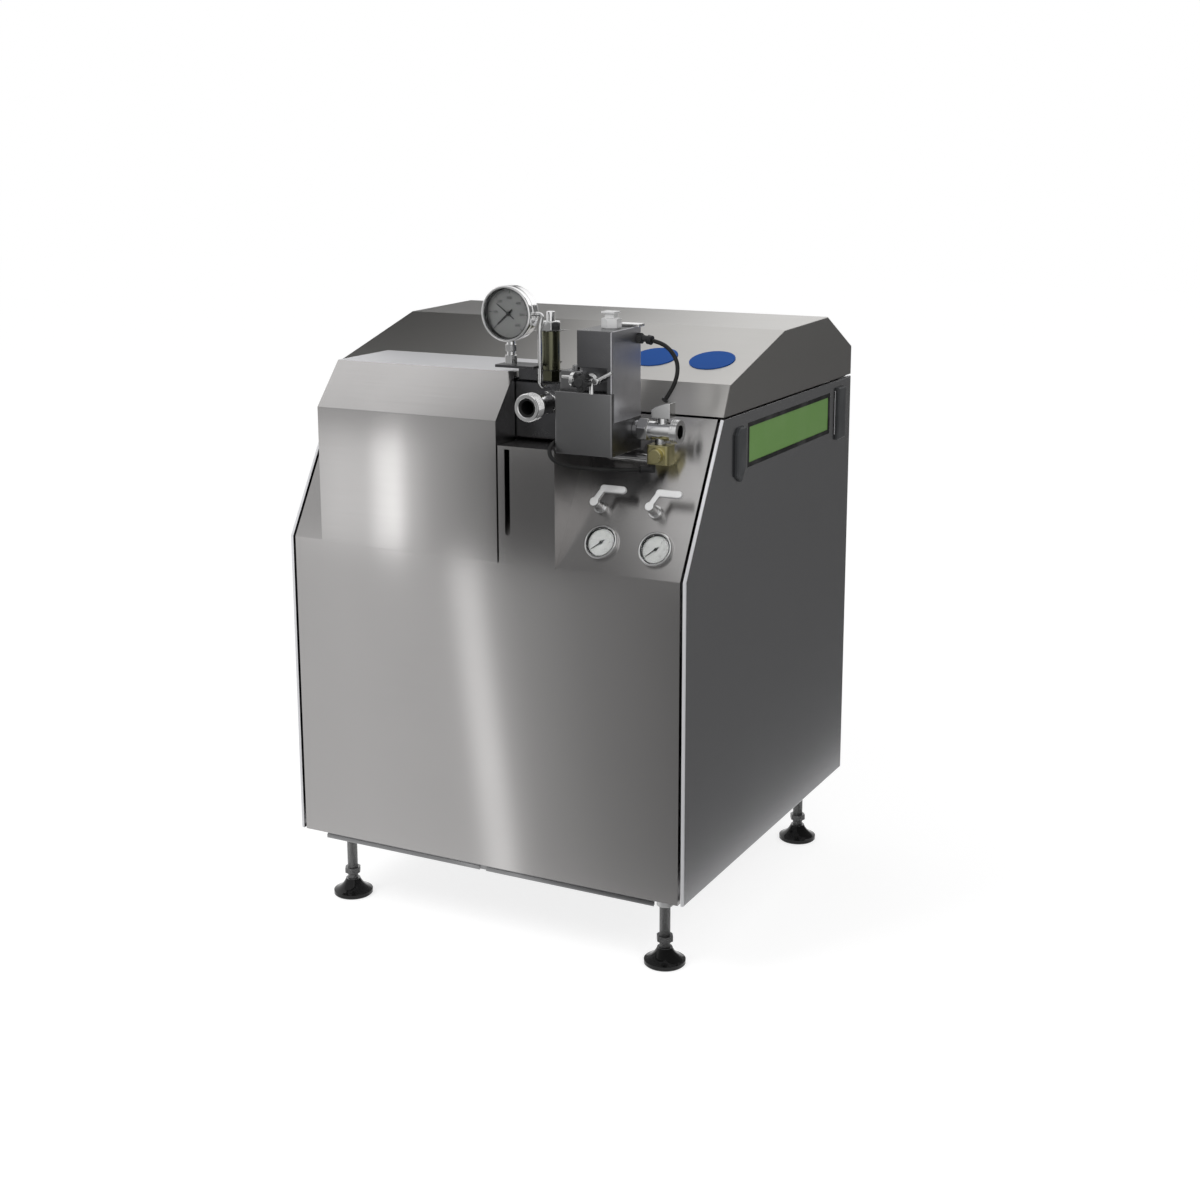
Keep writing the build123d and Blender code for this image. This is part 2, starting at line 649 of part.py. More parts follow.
def hood():
    """Folded top cover: gables, brow, shallow roof, chamfered rear and a well for the head."""
    x = (-HALF_WIDTH, HALF_WIDTH)
    low = HOOD_LOW - 40
    outer = side_profile(hood_points(low), x)
    edges = []
    for face in (outer.faces().sort_by(Axis.X)[0], outer.faces().sort_by(Axis.X)[-1]):
        edges += [e for e in face.edges() if e.center().Z > low + 1]
    outer = fillet(edges, HOOD_ROUND)
    inner_x = (x[0] + SHEET, x[1] - SHEET)
    shell = outer - grown(hood_points(low), -SHEET, inner_x)
    left = COVER_X[0] - NOTCH_CLEAR
    right = HEAD_X[1] + NOTCH_CLEAR
    roof = (low - 1, HOOD_REAR[1])
    behind_cover = HEAD_Y[1] + WELL_BEHIND_COVER
    behind_head = HEAD_Y[1] + WELL_BEHIND_HEAD
    shell -= block((left, right), (SLOPE_RUN - 30, behind_head), roof)
    shell -= block((left, COVER_X[1] + NOTCH_CLEAR), (SLOPE_RUN - 30, behind_cover), roof)
    wall = (left - SHEET, left)
    shell += outer & block(wall, (SLOPE_RUN, behind_cover), roof)
    wall = (right, right + SHEET)
    shell += outer & block(wall, (SLOPE_RUN, behind_head), roof)
    return shell - block((x[0] - 1, x[1] + 1), (0, CABINET_DEPTH + 1), (low - 2, HOOD_LOW))


def hood_discs():
    """Two plain round discs that lie on the hood's shallow face."""
    run = HOOD_CREST[0] - HOOD_BROW[0]
    rise = HOOD_CREST[1] - HOOD_BROW[1]
    discs = []
    for x, y in DISCS:
        z = HOOD_BROW[1] + rise * (y - HOOD_BROW[0]) / run
        plane = Plane(origin=(x, at_y(y), z), x_dir=(1, 0, 0), z_dir=(0, -rise, run))
        lower = (Align.CENTER, Align.CENTER, Align.MIN)
        discs.append(plane * Cylinder(DISC_RADIUS, DISC_THICK, align=lower))
    return discs


def hinge_axis():
    """Y and Z of the hood's hinge axis."""
    return BACK + HINGE_AXIS_BACK, SEAM_Z


def hinge_leaf(x, upper):
    """One leaf: a plate on the rear face with its share of five knuckles."""
    y, z = hinge_axis()
    z_far = z + HINGE_LEAF + 6 if upper else z - HINGE_LEAF - 6
    low, high = sorted((z, z_far))
    half = HINGE_LENGTH / 2
    leaf = block((x - half, x + half), (CABINET_DEPTH, CABINET_DEPTH + SHEET), (low, high))
    step = HINGE_LENGTH / 5
    for i in range(5):
        start = x - half + step * i
        if (i % 2 == 1) == upper:
            leaf += rod(HINGE_BARREL, (start + APART / 2, y, z), (start + step - APART / 2, y, z))
        else:
            leaf -= rod(HINGE_BARREL + APART, (start - APART / 2, y, z), (start + step + APART / 2, y, z))
    bore = HINGE_PIN + SLIP if upper else HINGE_PIN
    return leaf - rod(bore, (x - half - 1, y, z), (x + half + 1, y, z))


def hinge_pins():
    """The pins, held in the lower leaves."""
    y, z = hinge_axis()
    half = HINGE_LENGTH / 2
    return [rod(HINGE_PIN, (x - half - 3, y, z), (x + half + 3, y, z)) for x in HINGE_X]


def plunger_cover():
    """Guard over the pump head: a folded box, open behind, that hangs on four studs."""
    low = COVER_LOW - 60
    points = [(-COVER_PROUD, low), COVER_BREAK, COVER_TOP, (COVER_REACH, COVER_TOP[1]), (COVER_REACH, low)]
    outer = side_profile(points, COVER_X)
    further = COVER_REACH + 9
    longer = [(-COVER_PROUD, low - 9), COVER_BREAK, COVER_TOP, (further, COVER_TOP[1]), (further, low - 9)]
    outer -= grown(longer, -SHEET, (COVER_X[0] + SHEET, COVER_X[1] - SHEET))
    wide = (COVER_X[0] - 1, COVER_X[1] + 1)
    outer -= block(wide, (-COVER_PROUD - 1, COVER_REACH + 1), (low - 1, COVER_LOW))
    outer -= grown(body_profile(low=PANEL_LOW - 50, high=SEAM_Z), APART, wide)
    outer -= grown(hood_points(SEAM_Z - 60), HOOD_CLEAR, wide)
    head_z = (HEAD_Z[0] - 3, HEAD_Z[1] + 3)
    outer -= block((COVER_X[1] - 9, COVER_X[1] + 1), (HEAD_Y[0] - 3, COVER_REACH), head_z)
    cheeks = (COVER_X[0] + SHEET, COVER_X[1] - SHEET)
    for x, cheek in zip(stud_xs(), cheeks):
        for z in STUD_HEIGHTS:
            y = slope_y(z) - STUD_REACH + 5
            ear_x = sorted((cheek, x + math.copysign(EAR / 2, x - cheek)))
            outer += block(ear_x, (y, y + EAR_THICK), (z - EAR / 2, z + EAR / 2))
    for x in stud_xs():
        for z in STUD_HEIGHTS:
            y = slope_y(z)
            outer -= rod(STUD_RADIUS + 2 * SLIP, (x, at_y(y - STUD_REACH - 1), z), (x, at_y(y), z))
    return outer


def head_skirt():
    """Narrow box that closes the front below the head's exposed end, with a slot."""
    points = [(-SKIRT_PROUD, COVER_LOW), (-SKIRT_PROUD, SKIRT_TOP), (170, SKIRT_TOP), (170, COVER_LOW)]
    skirt = side_profile(points, SKIRT_X)
    inside = (SKIRT_X[0] + SHEET, SKIRT_X[1] - SHEET)
    skirt -= block(inside, (-SKIRT_PROUD + SHEET, 180), (COVER_LOW - 1, SKIRT_TOP - SHEET))
    slot_low = SLOT_LOW + (SLOT_X[1] - SLOT_X[0]) / 2
    middle = sum(SLOT_X) / 2
    skirt -= block(SLOT_X, (-SKIRT_PROUD - 1, 8), (slot_low, SKIRT_TOP - 6))
    skirt -= rod((SLOT_X[1] - SLOT_X[0]) / 2, (middle, FRONT - 9, slot_low), (middle, FRONT + 9, slot_low))
    wide = (SKIRT_X[0] - 1, SKIRT_X[1] + 1)
    return skirt - side_profile(body_profile(low=PANEL_LOW - 9, high=SEAM_Z), wide)


def pump_head():
    """Forged three-plunger block with its plunger bores and inlet passage."""
    head = block(HEAD_X, HEAD_Y, HEAD_Z)
    head = chamfer(head.edges().filter_by(Axis.X), HEAD_CHAMFER)
    bore_y = (at_y(PLUNGER_DEPTH), at_y(HEAD_Y[1] + 1))
    for x in PLUNGER_XS:
        head -= rod(PLUNGER_RADIUS + SLIP, (x, bore_y[0], PLUNGER_Z), (x, bore_y[1], PLUNGER_Z))
    mouth = (INLET_X, at_y(HEAD_Y[0] - 1), INLET_Z)
    return head - rod(INLET_BORE_RADIUS, mouth, (INLET_X, at_y(HEAD_Y[0] + INLET_PASSAGE), INLET_Z))


def valve_caps():
    """Screwed caps: one in front of each plunger and one above each valve."""
    caps = []
    for x in PLUNGER_XS:
        start = (x, at_y(HEAD_Y[0] - CAP_LENGTH), PLUNGER_Z)
        cap = rod(CAP_RADIUS, start, (x, at_y(HEAD_Y[0]), PLUNGER_Z))
        cap = chamfer(cap.edges().filter_by(GeomType.CIRCLE).sort_by(Axis.Y)[0], CAP_BREAK)
        cap -= hexagon(CAP_HEX, start, (x, at_y(HEAD_Y[0] - CAP_LENGTH + CAP_SOCKET), PLUNGER_Z))
        caps.append(cap)
        y = at_y(HEAD_Y[0] + TOP_CAP_BACK)
        low, high = HEAD_Z[1], HEAD_Z[1] + TOP_CAP_HEIGHT
        top = rod(TOP_CAP_RADIUS, (x, y, low), (x, y, high))
        caps.append(top - hexagon(CAP_HEX, (x, y, low + TOP_CAP_FLOOR), (x, y, high)))
    return caps


def plunger_glands():
    """Packing glands on the head's rear face, with a bolt flange and a running bore."""
    glands = []
    for x in PLUNGER_XS:
        start = (x, at_y(HEAD_Y[1]), PLUNGER_Z)
        gland = rod(GLAND_RADIUS, start, (x, at_y(HEAD_Y[1] + 9), PLUNGER_Z))
        gland += rod(GLAND_RADIUS - 8, start, (x, at_y(HEAD_Y[1] + GLAND_LENGTH), PLUNGER_Z))
        gland -= rod(PLUNGER_RADIUS + SLIP, start, (x, at_y(HEAD_Y[1] + GLAND_LENGTH + 1), PLUNGER_Z))
        glands.append(gland)
    return glands


def stroke_offset(index):
    """How far a plunger stands from mid-stroke, the three cranks being a third of a turn apart."""
    return STROKE / 2 * math.cos(2 * math.pi * index / PLUNGER_COUNT)


def plunger(index):
    """A plunger, its coupling and the crosshead rod behind it, in one solid."""
    x = PLUNGER_XS[index]
    shift = -stroke_offset(index)
    front = PLUNGER_DEPTH + STROKE / 2 + 4 + shift
    middle = (HEAD_Y[1] + GLAND_LENGTH + CRANKCASE_Y[0]) / 2 + shift
    ends = (middle - COUPLING_LENGTH / 2, middle + COUPLING_LENGTH / 2)
    solid = rod(PLUNGER_RADIUS, (x, at_y(front), PLUNGER_Z), (x, at_y(middle), PLUNGER_Z))
    solid += rod(COUPLING_RADIUS, (x, at_y(ends[0]), PLUNGER_Z), (x, at_y(ends[1]), PLUNGER_Z))
    rear = CRANKCASE_Y[0] + CROSSHEAD_DEPTH + shift
    return solid + rod(CROSSHEAD_RADIUS, (x, at_y(middle), PLUNGER_Z), (x, at_y(rear), PLUNGER_Z))


def side_plates():
    """Two plates that tie the pump head to the crankcase across the plunger chamber."""
    y = (HEAD_Y[1], CRANKCASE_Y[0])
    plates = []
    for x in (HEAD_X[0], CRANKCASE_X[1] - PLATE_INSET):
        plate = block((x, x + PLATE_THICK), y, (HEAD_Z[0] + 4, HEAD_Z[1] - 6))
        middle = at_y((y[0] + y[1]) / 2)
        ends = ((x - 1, middle, PLUNGER_Z), (x + PLATE_THICK + 1, middle, PLUNGER_Z))
        plates.append(plate - rod(PLATE_HOLE_RADIUS, *ends))
    return plates


def crankcase():
    """Cast crankcase with rounded edges, input boss, feet and three crosshead bores."""
    z = (BEAM_LOW + FRAME_TUBE, CRANKCASE_TOP)
    case = block(CRANKCASE_X, CRANKCASE_Y, z)
    case = fillet(case.edges().filter_by(Axis.Z), CRANKCASE_ROUND)
    input_at = (at_y(INPUT_SHAFT_Y), INPUT_SHAFT_Z)
    boss_x = (CRANKCASE_X[0] - INPUT_BOSS[0], CRANKCASE_X[0] + INPUT_BOSS[1])
    case += rod(INPUT_BOSS_RADIUS, (boss_x[0], *input_at), (boss_x[1], *input_at))
    case -= rod(INPUT_SHAFT_RADIUS + SLIP, (CRANKCASE_X[0] - INPUT_BOSS[1], *input_at),
                (CRANKCASE_X[0] + INPUT_SHAFT_DEPTH + APART, *input_at))
    for x in PLUNGER_XS:
        guide = [at_y(CRANKCASE_Y[0] + y) for y in GUIDE_Y]
        case += rod(GUIDE_RADIUS, (x, guide[0], PLUNGER_Z), (x, guide[1], PLUNGER_Z))
        case -= rod(CROSSHEAD_RADIUS + SLIP, (x, at_y(CRANKCASE_Y[0] - 9), PLUNGER_Z),
                    (x, at_y(CRANKCASE_Y[0] + CROSSHEAD_DEPTH + STROKE), PLUNGER_Z))
    plug_at = (at_y(OIL_PLUG_AT[0]), OIL_PLUG_AT[1])
    case += rod(OIL_PLUG_RADIUS, (CRANKCASE_X[1] - 5, *plug_at), (CRANKCASE_X[1] + 8, *plug_at))
    return case


def crankcase_cover():
    """Oil cover with a breather on top."""
    inset = 14.0
    x = (CRANKCASE_X[0] + inset, CRANKCASE_X[1] - inset)
    y = (CRANKCASE_Y[0] + inset, CRANKCASE_Y[1] - inset)
    plate = block(x, y, (CRANKCASE_TOP, CRANKCASE_TOP + COVER_PLATE))
    plate = fillet(plate.edges().filter_by(Axis.Z), CRANKCASE_ROUND)
    top = CRANKCASE_TOP + COVER_PLATE
    spot = (BREATHER_AT[0], at_y(BREATHER_AT[1]))
    neck, cap = BREATHER_HEIGHTS
    breather = rod(BREATHER_RADII[0], (*spot, top), (*spot, top + neck))
    breather += rod(BREATHER_RADII[1], (*spot, top + neck), (*spot, top + cap))
    return plate + breather


def motor():
    """Finned motor body on its feet, terminal box on top and fan cowl at the right end."""
    centre = (at_y(MOTOR_Y), MOTOR_Z)
    body = rod(MOTOR_RADIUS, (MOTOR_X[0], *centre), (MOTOR_X[1], *centre))
    fin_x = (MOTOR_X[0] + 26, MOTOR_X[1] - 26)
    for i in range(MOTOR_FINS):
        fin = Box(fin_x[1] - fin_x[0], 3.0, 2 * (MOTOR_RADIUS + MOTOR_FIN))
        if i < MOTOR_FINS / 2:
            turn = 360.0 * i / MOTOR_FINS + 180.0 / MOTOR_FINS
            body += Pos(sum(fin_x) / 2, *centre) * Rot(turn, 0, 0) * fin
    body += rod(MOTOR_RADIUS + 6, (MOTOR_X[0] - 14, *centre), (MOTOR_X[0] + 12, *centre))
    for y in MOTOR_FEET_Y:
        y += MOTOR_Y
        foot_z = (PAN_TOP + SLIDE_RAIL, MOTOR_Z - MOTOR_SEAT)
        body += block((MOTOR_X[0] + 40, MOTOR_X[1] - 40), (y, y + MOTOR_FOOT_WIDTH), foot_z)
    shaft_end = MOTOR_X[0] + MOTOR_SHAFT_DEPTH + APART
    body -= rod(MOTOR_SHAFT_RADIUS + SLIP, (MOTOR_X[0] - 20, *centre), (shaft_end, *centre))
    cowl = rod(MOTOR_RADIUS + 4, (MOTOR_X[1], *centre), (MOTOR_X[1] + COWL_LENGTH, *centre))
    cowl = fillet(cowl.edges().filter_by(GeomType.CIRCLE).sort_by(Axis.X)[-1], 18.0)
    top = MOTOR_Z + MOTOR_RADIUS + MOTOR_FIN
    long, wide, high = TERMINAL_BOX
    box = block((TERMINAL_BOX_X - long / 2, TERMINAL_BOX_X + long / 2),
                (MOTOR_Y - wide / 2, MOTOR_Y + wide / 2), (top + SEAT, top + high))
    box = fillet(box.edges().filter_by(Axis.Z), 8.0)
    return [body, cowl, box]


def motor_rails():
    """Two slotted slide rails that the motor is shifted on to set the belts' tension."""
    rails = []
    for x in (MOTOR_X[0] + 60, MOTOR_X[1] - 60):
        rail = block((x - 24, x + 24), (MOTOR_Y - 160, MOTOR_Y + 160), (PAN_TOP, PAN_TOP + SLIDE_RAIL))
        slot_y = (MOTOR_Y - 145, MOTOR_Y + 145)
        rails.append(rail - block((x - 5, x + 5), slot_y, (PAN_TOP + 8, PAN_TOP + SLIDE_RAIL + 1)))
    return rails


def groove_xs():
    """Middle of each belt groove."""
    middle = sum(PULLEY_X) / 2
    return [middle + GROOVE_PITCH * (i - (GROOVE_COUNT - 1) / 2) for i in range(GROOVE_COUNT)]


def pulley(pitch_radius, shaft_radius, centre, shaft_end):
    """Grooved belt pulley with a dished web and hub, on its shaft, in one solid."""
    rim = pitch_radius + BELT_ABOVE_PITCH + 1
    low = rim - GROOVE_DEPTH
    points = [(PULLEY_X[0], rim)]
    for x in groove_xs():
        points += [(x - BELT_TOP / 2 - 1.1, rim), (x - BELT_BASE / 2 - 0.2, low),
                   (x + BELT_BASE / 2 + 0.2, low), (x + BELT_TOP / 2 + 1.1, rim)]
    points += [(PULLEY_X[1], rim), (PULLEY_X[1], 0), (PULLEY_X[0], 0)]
    section = make_face(Polyline(*points, close=True))
    wheel = revolve(section, Axis.X)
    lip = low - 9
    if lip > shaft_radius + 40:
        ring = Cylinder(lip, 18.0) - Cylinder(shaft_radius + 18, 18.0)
        for x in (PULLEY_X[0] + 9, PULLEY_X[1] - 9):
            wheel -= Pos(x, 0, 0) * Rot(0, 90, 0) * ring
        hole_at = Pos(sum(PULLEY_X) / 2, 0, (lip + shaft_radius + 18) / 2)
        for i in range(6):
            wheel -= Rot(60.0 * i, 0, 0) * hole_at * Rot(0, 90, 0) * Cylinder(20.0, 60.0)
    wheel = Pos(0, *centre) * wheel
    return wheel + rod(shaft_radius, (PULLEY_X[0] - 6, *centre), (shaft_end, *centre))


def belts():
    """Three V-belts round both pulleys, each swept along its pitch line."""
    low = Vector(at_y(MOTOR_Y), MOTOR_Z)
    high = Vector(at_y(INPUT_SHAFT_Y), INPUT_SHAFT_Z)
    run = high - low
    tilt = math.atan2(run.Y, run.X)
    lean = math.acos((MOTOR_PITCH_RADIUS - DRIVEN_PITCH_RADIUS) / run.length)
    loops = []
    for x in groove_xs():
        plane = Plane(origin=(x, 0, 0), x_dir=(0, 1, 0), z_dir=(1, 0, 0))
        touch = []
        for centre, radius in ((low, MOTOR_PITCH_RADIUS), (high, DRIVEN_PITCH_RADIUS)):
            for sign in (1, -1):
                angle = tilt + sign * lean
                touch.append(centre + Vector(math.cos(angle), math.sin(angle)) * radius)
        bottom = low - run.normalized() * MOTOR_PITCH_RADIUS
        crest = high + run.normalized() * DRIVEN_PITCH_RADIUS
        loop = Wire([
            Edge.make_line(plane.from_local_coords(touch[0]), plane.from_local_coords(touch[2])),
            Edge.make_three_point_arc(*[plane.from_local_coords(p) for p in (touch[2], crest, touch[3])]),
            Edge.make_line(plane.from_local_coords(touch[3]), plane.from_local_coords(touch[1])),
            Edge.make_three_point_arc(*[plane.from_local_coords(p) for p in (touch[1], bottom, touch[0])]),
        ])
        start = loop @ 0
        outward = (plane.from_local_coords(touch[0]) - plane.from_local_coords(low)).normalized()
        across = Plane(origin=start, x_dir=(1, 0, 0), z_dir=outward.cross(Vector(1, 0, 0)) * -1)
        out = 1 if across.y_dir.dot(outward) > 0 else -1
        top = BELT_ABOVE_PITCH * out
        base = (BELT_ABOVE_PITCH - BELT_HEIGHT) * out
        section = make_face(Polyline((-BELT_TOP / 2, top), (BELT_TOP / 2, top), (BELT_BASE / 2 + 0.7, base),
                                     (-BELT_BASE / 2 - 0.7, base), close=True))
        belt = sweep(across * section, path=loop)
        loops.append(belt)
    return loops


def inlet():
    """Product inlet: tube out of the head with a hexagon and a round union thread."""
    head_y = HEAD_Y[0]
    start = (INLET_X, at_y(head_y), INLET_Z)
    end = (INLET_X, at_y(head_y - INLET_REACH), INLET_Z)
    port = rod(INLET_TUBE_RADIUS, start, end)
    port += nut(INLET_HEX, start, (INLET_X, at_y(head_y - 16), INLET_Z), ends=(1,))
    thread_end = (INLET_X, at_y(head_y - INLET_REACH + INLET_THREAD_LENGTH), INLET_Z)
    port += rod(INLET_THREAD_RADIUS, thread_end, end)
    cone_end = (INLET_X, at_y(head_y - INLET_REACH + INLET_THREAD_LENGTH + 14), INLET_Z)
    cone = Plane(origin=thread_end, z_dir=(0, 1, 0)) * Cone(
        INLET_THREAD_RADIUS - 2, INLET_TUBE_RADIUS, 14.0, align=(Align.CENTER, Align.CENTER, Align.MIN))
    port += cone
    return port - rod(INLET_BORE_RADIUS, (start[0], start[1] + 1, start[2]), (end[0], end[1] - 1, end[2]))


def valve_block():
    """Lower valve block and the dark shoulder beside the tall block: two solids."""
    lower = block(BLOCK_X, BLOCK_Y, BLOCK_Z)
    outlet_at = (at_y(OUTLET_Y), OUTLET_Z)
    lower -= rod(OUTLET_BORE_RADIUS, (BLOCK_X[1] - 60, *outlet_at), (BLOCK_X[1] + 1, *outlet_at))
    lower = chamfer(lower.edges().filter_by(Axis.Z), BLOCK_EDGE)
    wide = (BLOCK_X[1] - CHEEK_THICK, BLOCK_X[1] + 1)
    lower -= block(wide, (CHEEK_FRONT, BLOCK_Y[1] + 1), (CHEEK_LOW, BLOCK_Z[1] + 1))
    shoulder = block((BLOCK_X[0], TALL_X[0]), SHOULDER_Y, (BLOCK_Z[1], SHOULDER_TOP))
    shoulder = chamfer(shoulder.edges().filter_by(Axis.Y).sort_by(Axis.Z)[-2:], 4.0)
    for y in (SHOULDER_Y[0] + 20, SHOULDER_Y[0] + 52):
        shoulder += rod(7.0, (sum((BLOCK_X[0], TALL_X[0])) / 2, at_y(y), SHOULDER_TOP),
                        (sum((BLOCK_X[0], TALL_X[0])) / 2, at_y(y), SHOULDER_TOP + 8))
    return [lower, shoulder]


def tall_block():
    """Actuator block with a recess across its lower front and a cheek that laps the lower block."""
    tall = block(TALL_X, TALL_Y, (BLOCK_Z[1], TALL_TOP))
    cheek = (TALL_X[1] - CHEEK_THICK + SEAT, TALL_X[1])
    tall = chamfer(tall.edges().filter_by(Axis.Z), BLOCK_EDGE)
    tall += block(cheek, (CHEEK_FRONT + SEAT, TALL_Y[1]), (CHEEK_LOW + SEAT, BLOCK_Z[1] + 9))
    side = (TALL_X[0] - 1, TALL_X[1] - CHEEK_THICK)
    tall -= block(side, (TALL_Y[0] - 1, RECESS_DEPTH), (BLOCK_Z[1] - 1, RECESS_TOP))
    return tall


def cap_nut():
    """Chrome hexagon nut with a square-headed adjusting screw and top plate."""
    x, y = BLOCK_X[1] - CAP_NUT_IN[0], CAP_NUT_IN[1]
    low, high = TALL_TOP, TALL_TOP + CAP_NUT_HEIGHT
    cap = nut(CAP_NUT_FLATS, (x, at_y(y), low), (x, at_y(y), high), 30.0, ends=(1,))
    half = CAP_HEAD_SIDE / 2
    z = (high, high + CAP_HEAD_HEIGHT - CAP_PLATE)
    cap += block((x - half + 3, x + half - 3), (y - half + 3, y + half - 3), z)
    cap += block((x - half - 3, x + half), (y - half, y + half), (z[1], z[1] + CAP_PLATE))
    return cap


def actuator_fitting():
    """Black elbow with a ring at the tall block's upper right rear, under a flat lug."""
    end, second = placed(UPPER_HOSE[:2], BLOCK_X[1])
    back = (end - second).normalized()
    ring = end + back * 9
    middle = ring + back * 6
    foot_ends = ((TALL_X[1], middle.Y, middle.Z), (TALL_X[1] + 10, middle.Y, middle.Z))
    fitting = hexagon(17.0, *foot_ends)
    fitting += rod(6.0, (TALL_X[1] + 5, middle.Y, middle.Z), tuple(middle))
    fitting += rod(6.0, tuple(middle), tuple(ring)) + rod(8.5, tuple(ring), tuple(end))
    y = middle.Y - FRONT
    lug = block((TALL_X[1] - 34, TALL_X[1] + 8), (y - 12, y + 12), (TALL_TOP, TALL_TOP + 5))
    return [fitting, lug]


def outlet():
    """Outlet union on the block's right side, with its nut, tee and threaded end."""
    centre = (at_y(OUTLET_Y), OUTLET_Z)
    start = BLOCK_X[1]
    end = start + OUTLET_REACH
    union = rod(OUTLET_TUBE_RADIUS, (start, *centre), (end, *centre))
    union += nut(OUTLET_NUT_FLATS, (start + 10, *centre), (start + 30, *centre), 15.0)
    union += rod(OUTLET_THREAD_RADIUS, (end - OUTLET_THREAD_LENGTH, *centre), (end, *centre))
    low, top = OUTLET_Z + 24, OUTLET_Z + 52
    x0, x1 = TEE_X
    outline = Polyline((x0, low), (x0, top - 14), (x0 + 8, top - 8), (x1 - 6, top), (x1, top),
                       (x1, low), close=True)
    wedge = Plane.XZ.offset(-centre[0] - 12) * make_face(outline)
    union += extrude(wedge, amount=24)
    middle = (x0 + x1) / 2
    union += rod(11.0, (middle, centre[0], OUTLET_Z), (middle, centre[0], low + 5))
    union += rod(11.0, (BRASS_X, centre[0], BRASS_TOP), (BRASS_X, centre[0], OUTLET_Z))
    return union - rod(OUTLET_BORE_RADIUS, (start - 1, *centre), (end + 1, *centre))


def brass_valve():
    """Brass body below the outlet, with a round cap towards the front."""
    half = [s / 2 for s in BRASS_SIZE]
    top = BRASS_TOP
    body = block((BRASS_X - half[0], BRASS_X + half[0]), (OUTLET_Y - half[1], OUTLET_Y + half[1]),
                 (top - BRASS_SIZE[2], top))
    body = fillet(body.edges().filter_by(Axis.Z), 6.0)
    front = OUTLET_Y - half[1]
    middle = top - half[2]
    body += rod(13.0, (BRASS_X, at_y(front - 12), middle), (BRASS_X, at_y(front + 2), middle))
    return body


def drain_tube():
    """Bright tube under the block that joins it to the brass body."""
    y = at_y(OUTLET_Y)
    wall = BRASS_X - BRASS_SIZE[0] / 2
    x, z = BLOCK_X[1] - DRAIN_IN, BLOCK_Z[0] - DRAIN_DROP
    route = FilletPolyline((x, y, BLOCK_Z[0]), (x, y, z), (wall, y, z), radius=12.0)
    end = Plane(origin=route @ 0, z_dir=route % 0)
    return sweep(end * Circle(DRAIN_RADIUS), path=route)


def bleed_body():
    """Body of the needle valve in the recess: flange, neck and a conical nozzle."""
    x, z = KNOB_AT
    y = RECESS_DEPTH
    body = rod(11.0, (x, at_y(y), z), (x, at_y(y - 8), z))
    body += rod(7.5, (x, at_y(y - 4), z), (x, at_y(KNOB_Y[1] + 3), z))
    body += rod(6.5, (x, at_y(-2), z), (x - 26, at_y(-2), z))
    body += rod(13.0, (x - 24, at_y(-2), z), (x - 31, at_y(-2), z))
    body += rod(3.0, (x - 30, at_y(-2), z + 4), (x - 51, at_y(-2), z + 4))
    body += rod(2.5, (x, at_y(-7), z), (x + 12, at_y(-7), z))
    body += Plane(origin=(x + 11, at_y(-7), z + 4), z_dir=(0, 0, -1)) * Cone(
        3.2, 5.0, 27.0, align=(Align.CENTER, Align.CENTER, Align.MIN))
    body -= rod(3.0 + SLIP, (x, at_y(6), z), (x, at_y(KNOB_Y[1] - 1), z))
    lx, lz = LEVER_AT
    post = rod(6.0, (lx, at_y(y), lz), (lx, at_y(LEVER_Y + 5), lz))
    post -= rod(2.5 + SLIP, (lx, at_y(6), lz), (lx, at_y(LEVER_Y), lz))
    return [body, post]


def star_knob():
    """Black knob with rounded lobes on its threaded spindle."""
    x, z = KNOB_AT
    outline = Circle(KNOB_RADIUS * 0.66)
    for i in range(KNOB_LOBES):
        angle = 2 * math.pi * i / KNOB_LOBES
        spot = (KNOB_RADIUS * 0.66 * math.cos(angle), KNOB_RADIUS * 0.66 * math.sin(angle))
        outline += Pos(*spot) * Circle(KNOB_RADIUS * 0.34)
    plane = Plane(origin=(x, at_y(KNOB_Y[1]), z), z_dir=(0, -1, 0))
    knob = extrude(plane * outline, amount=KNOB_Y[1] - KNOB_Y[0])
    knob += rod(8.0, (x, at_y(KNOB_Y[0] - 3), z), (x, at_y(KNOB_Y[0]), z))
    return knob + rod(3.0, (x, at_y(KNOB_Y[1]), z), (x, at_y(5), z))


def bleed_lever():
    """Chrome lever on its own spindle, rising to the right."""
    x, z = LEVER_AT
    rise = math.radians(LEVER_RISE_DEG)
    tip = (x + LEVER_LENGTH * math.cos(rise), at_y(LEVER_Y), z + LEVER_LENGTH * math.sin(rise))
    lever = rod(3.2, (x, at_y(LEVER_Y), z), tip)
    lever += rod(6.0, (x, at_y(LEVER_Y - 4), z), (x, at_y(LEVER_Y + 4), z))
    return lever + rod(2.5, (x, at_y(LEVER_Y), z), (x, at_y(5), z))


def gauge_mount():
    """Adaptor block on the head, plate above it and the gauge's stem."""
    x = GAUGE_AT[0]
    left_of_valve = RELIEF_AT[0] - RELIEF_RADIUS - 4
    adaptor = block((COVER_X[1] + 5, left_of_valve), (HEAD_Y[0] + 4, PLATE_Y[1] + 2), (HEAD_Z[1], PLATE_Z[0]))
    mount = adaptor + block((PLATE_X[0], left_of_valve), PLATE_Y, PLATE_Z)
    mount += block(PLATE_X, (PLATE_Y[0], RELIEF_AT[1] - RELIEF_RADIUS - 4), PLATE_Z)
    stem_top = GAUGE_AT[2] - GAUGE_RADIUS - 6
    y = at_y(GAUGE_STEM_Y)
    mount += nut(22.0, (x, y, PLATE_Z[1]), (x, y, PLATE_Z[1] + 16), ends=(1,))
    mount += rod(8.0, (x, y, PLATE_Z[1]), (x, y, stem_top - 12))
    return mount + nut(20.0, (x, y, stem_top - 12), (x, y, stem_top), ends=(0,))


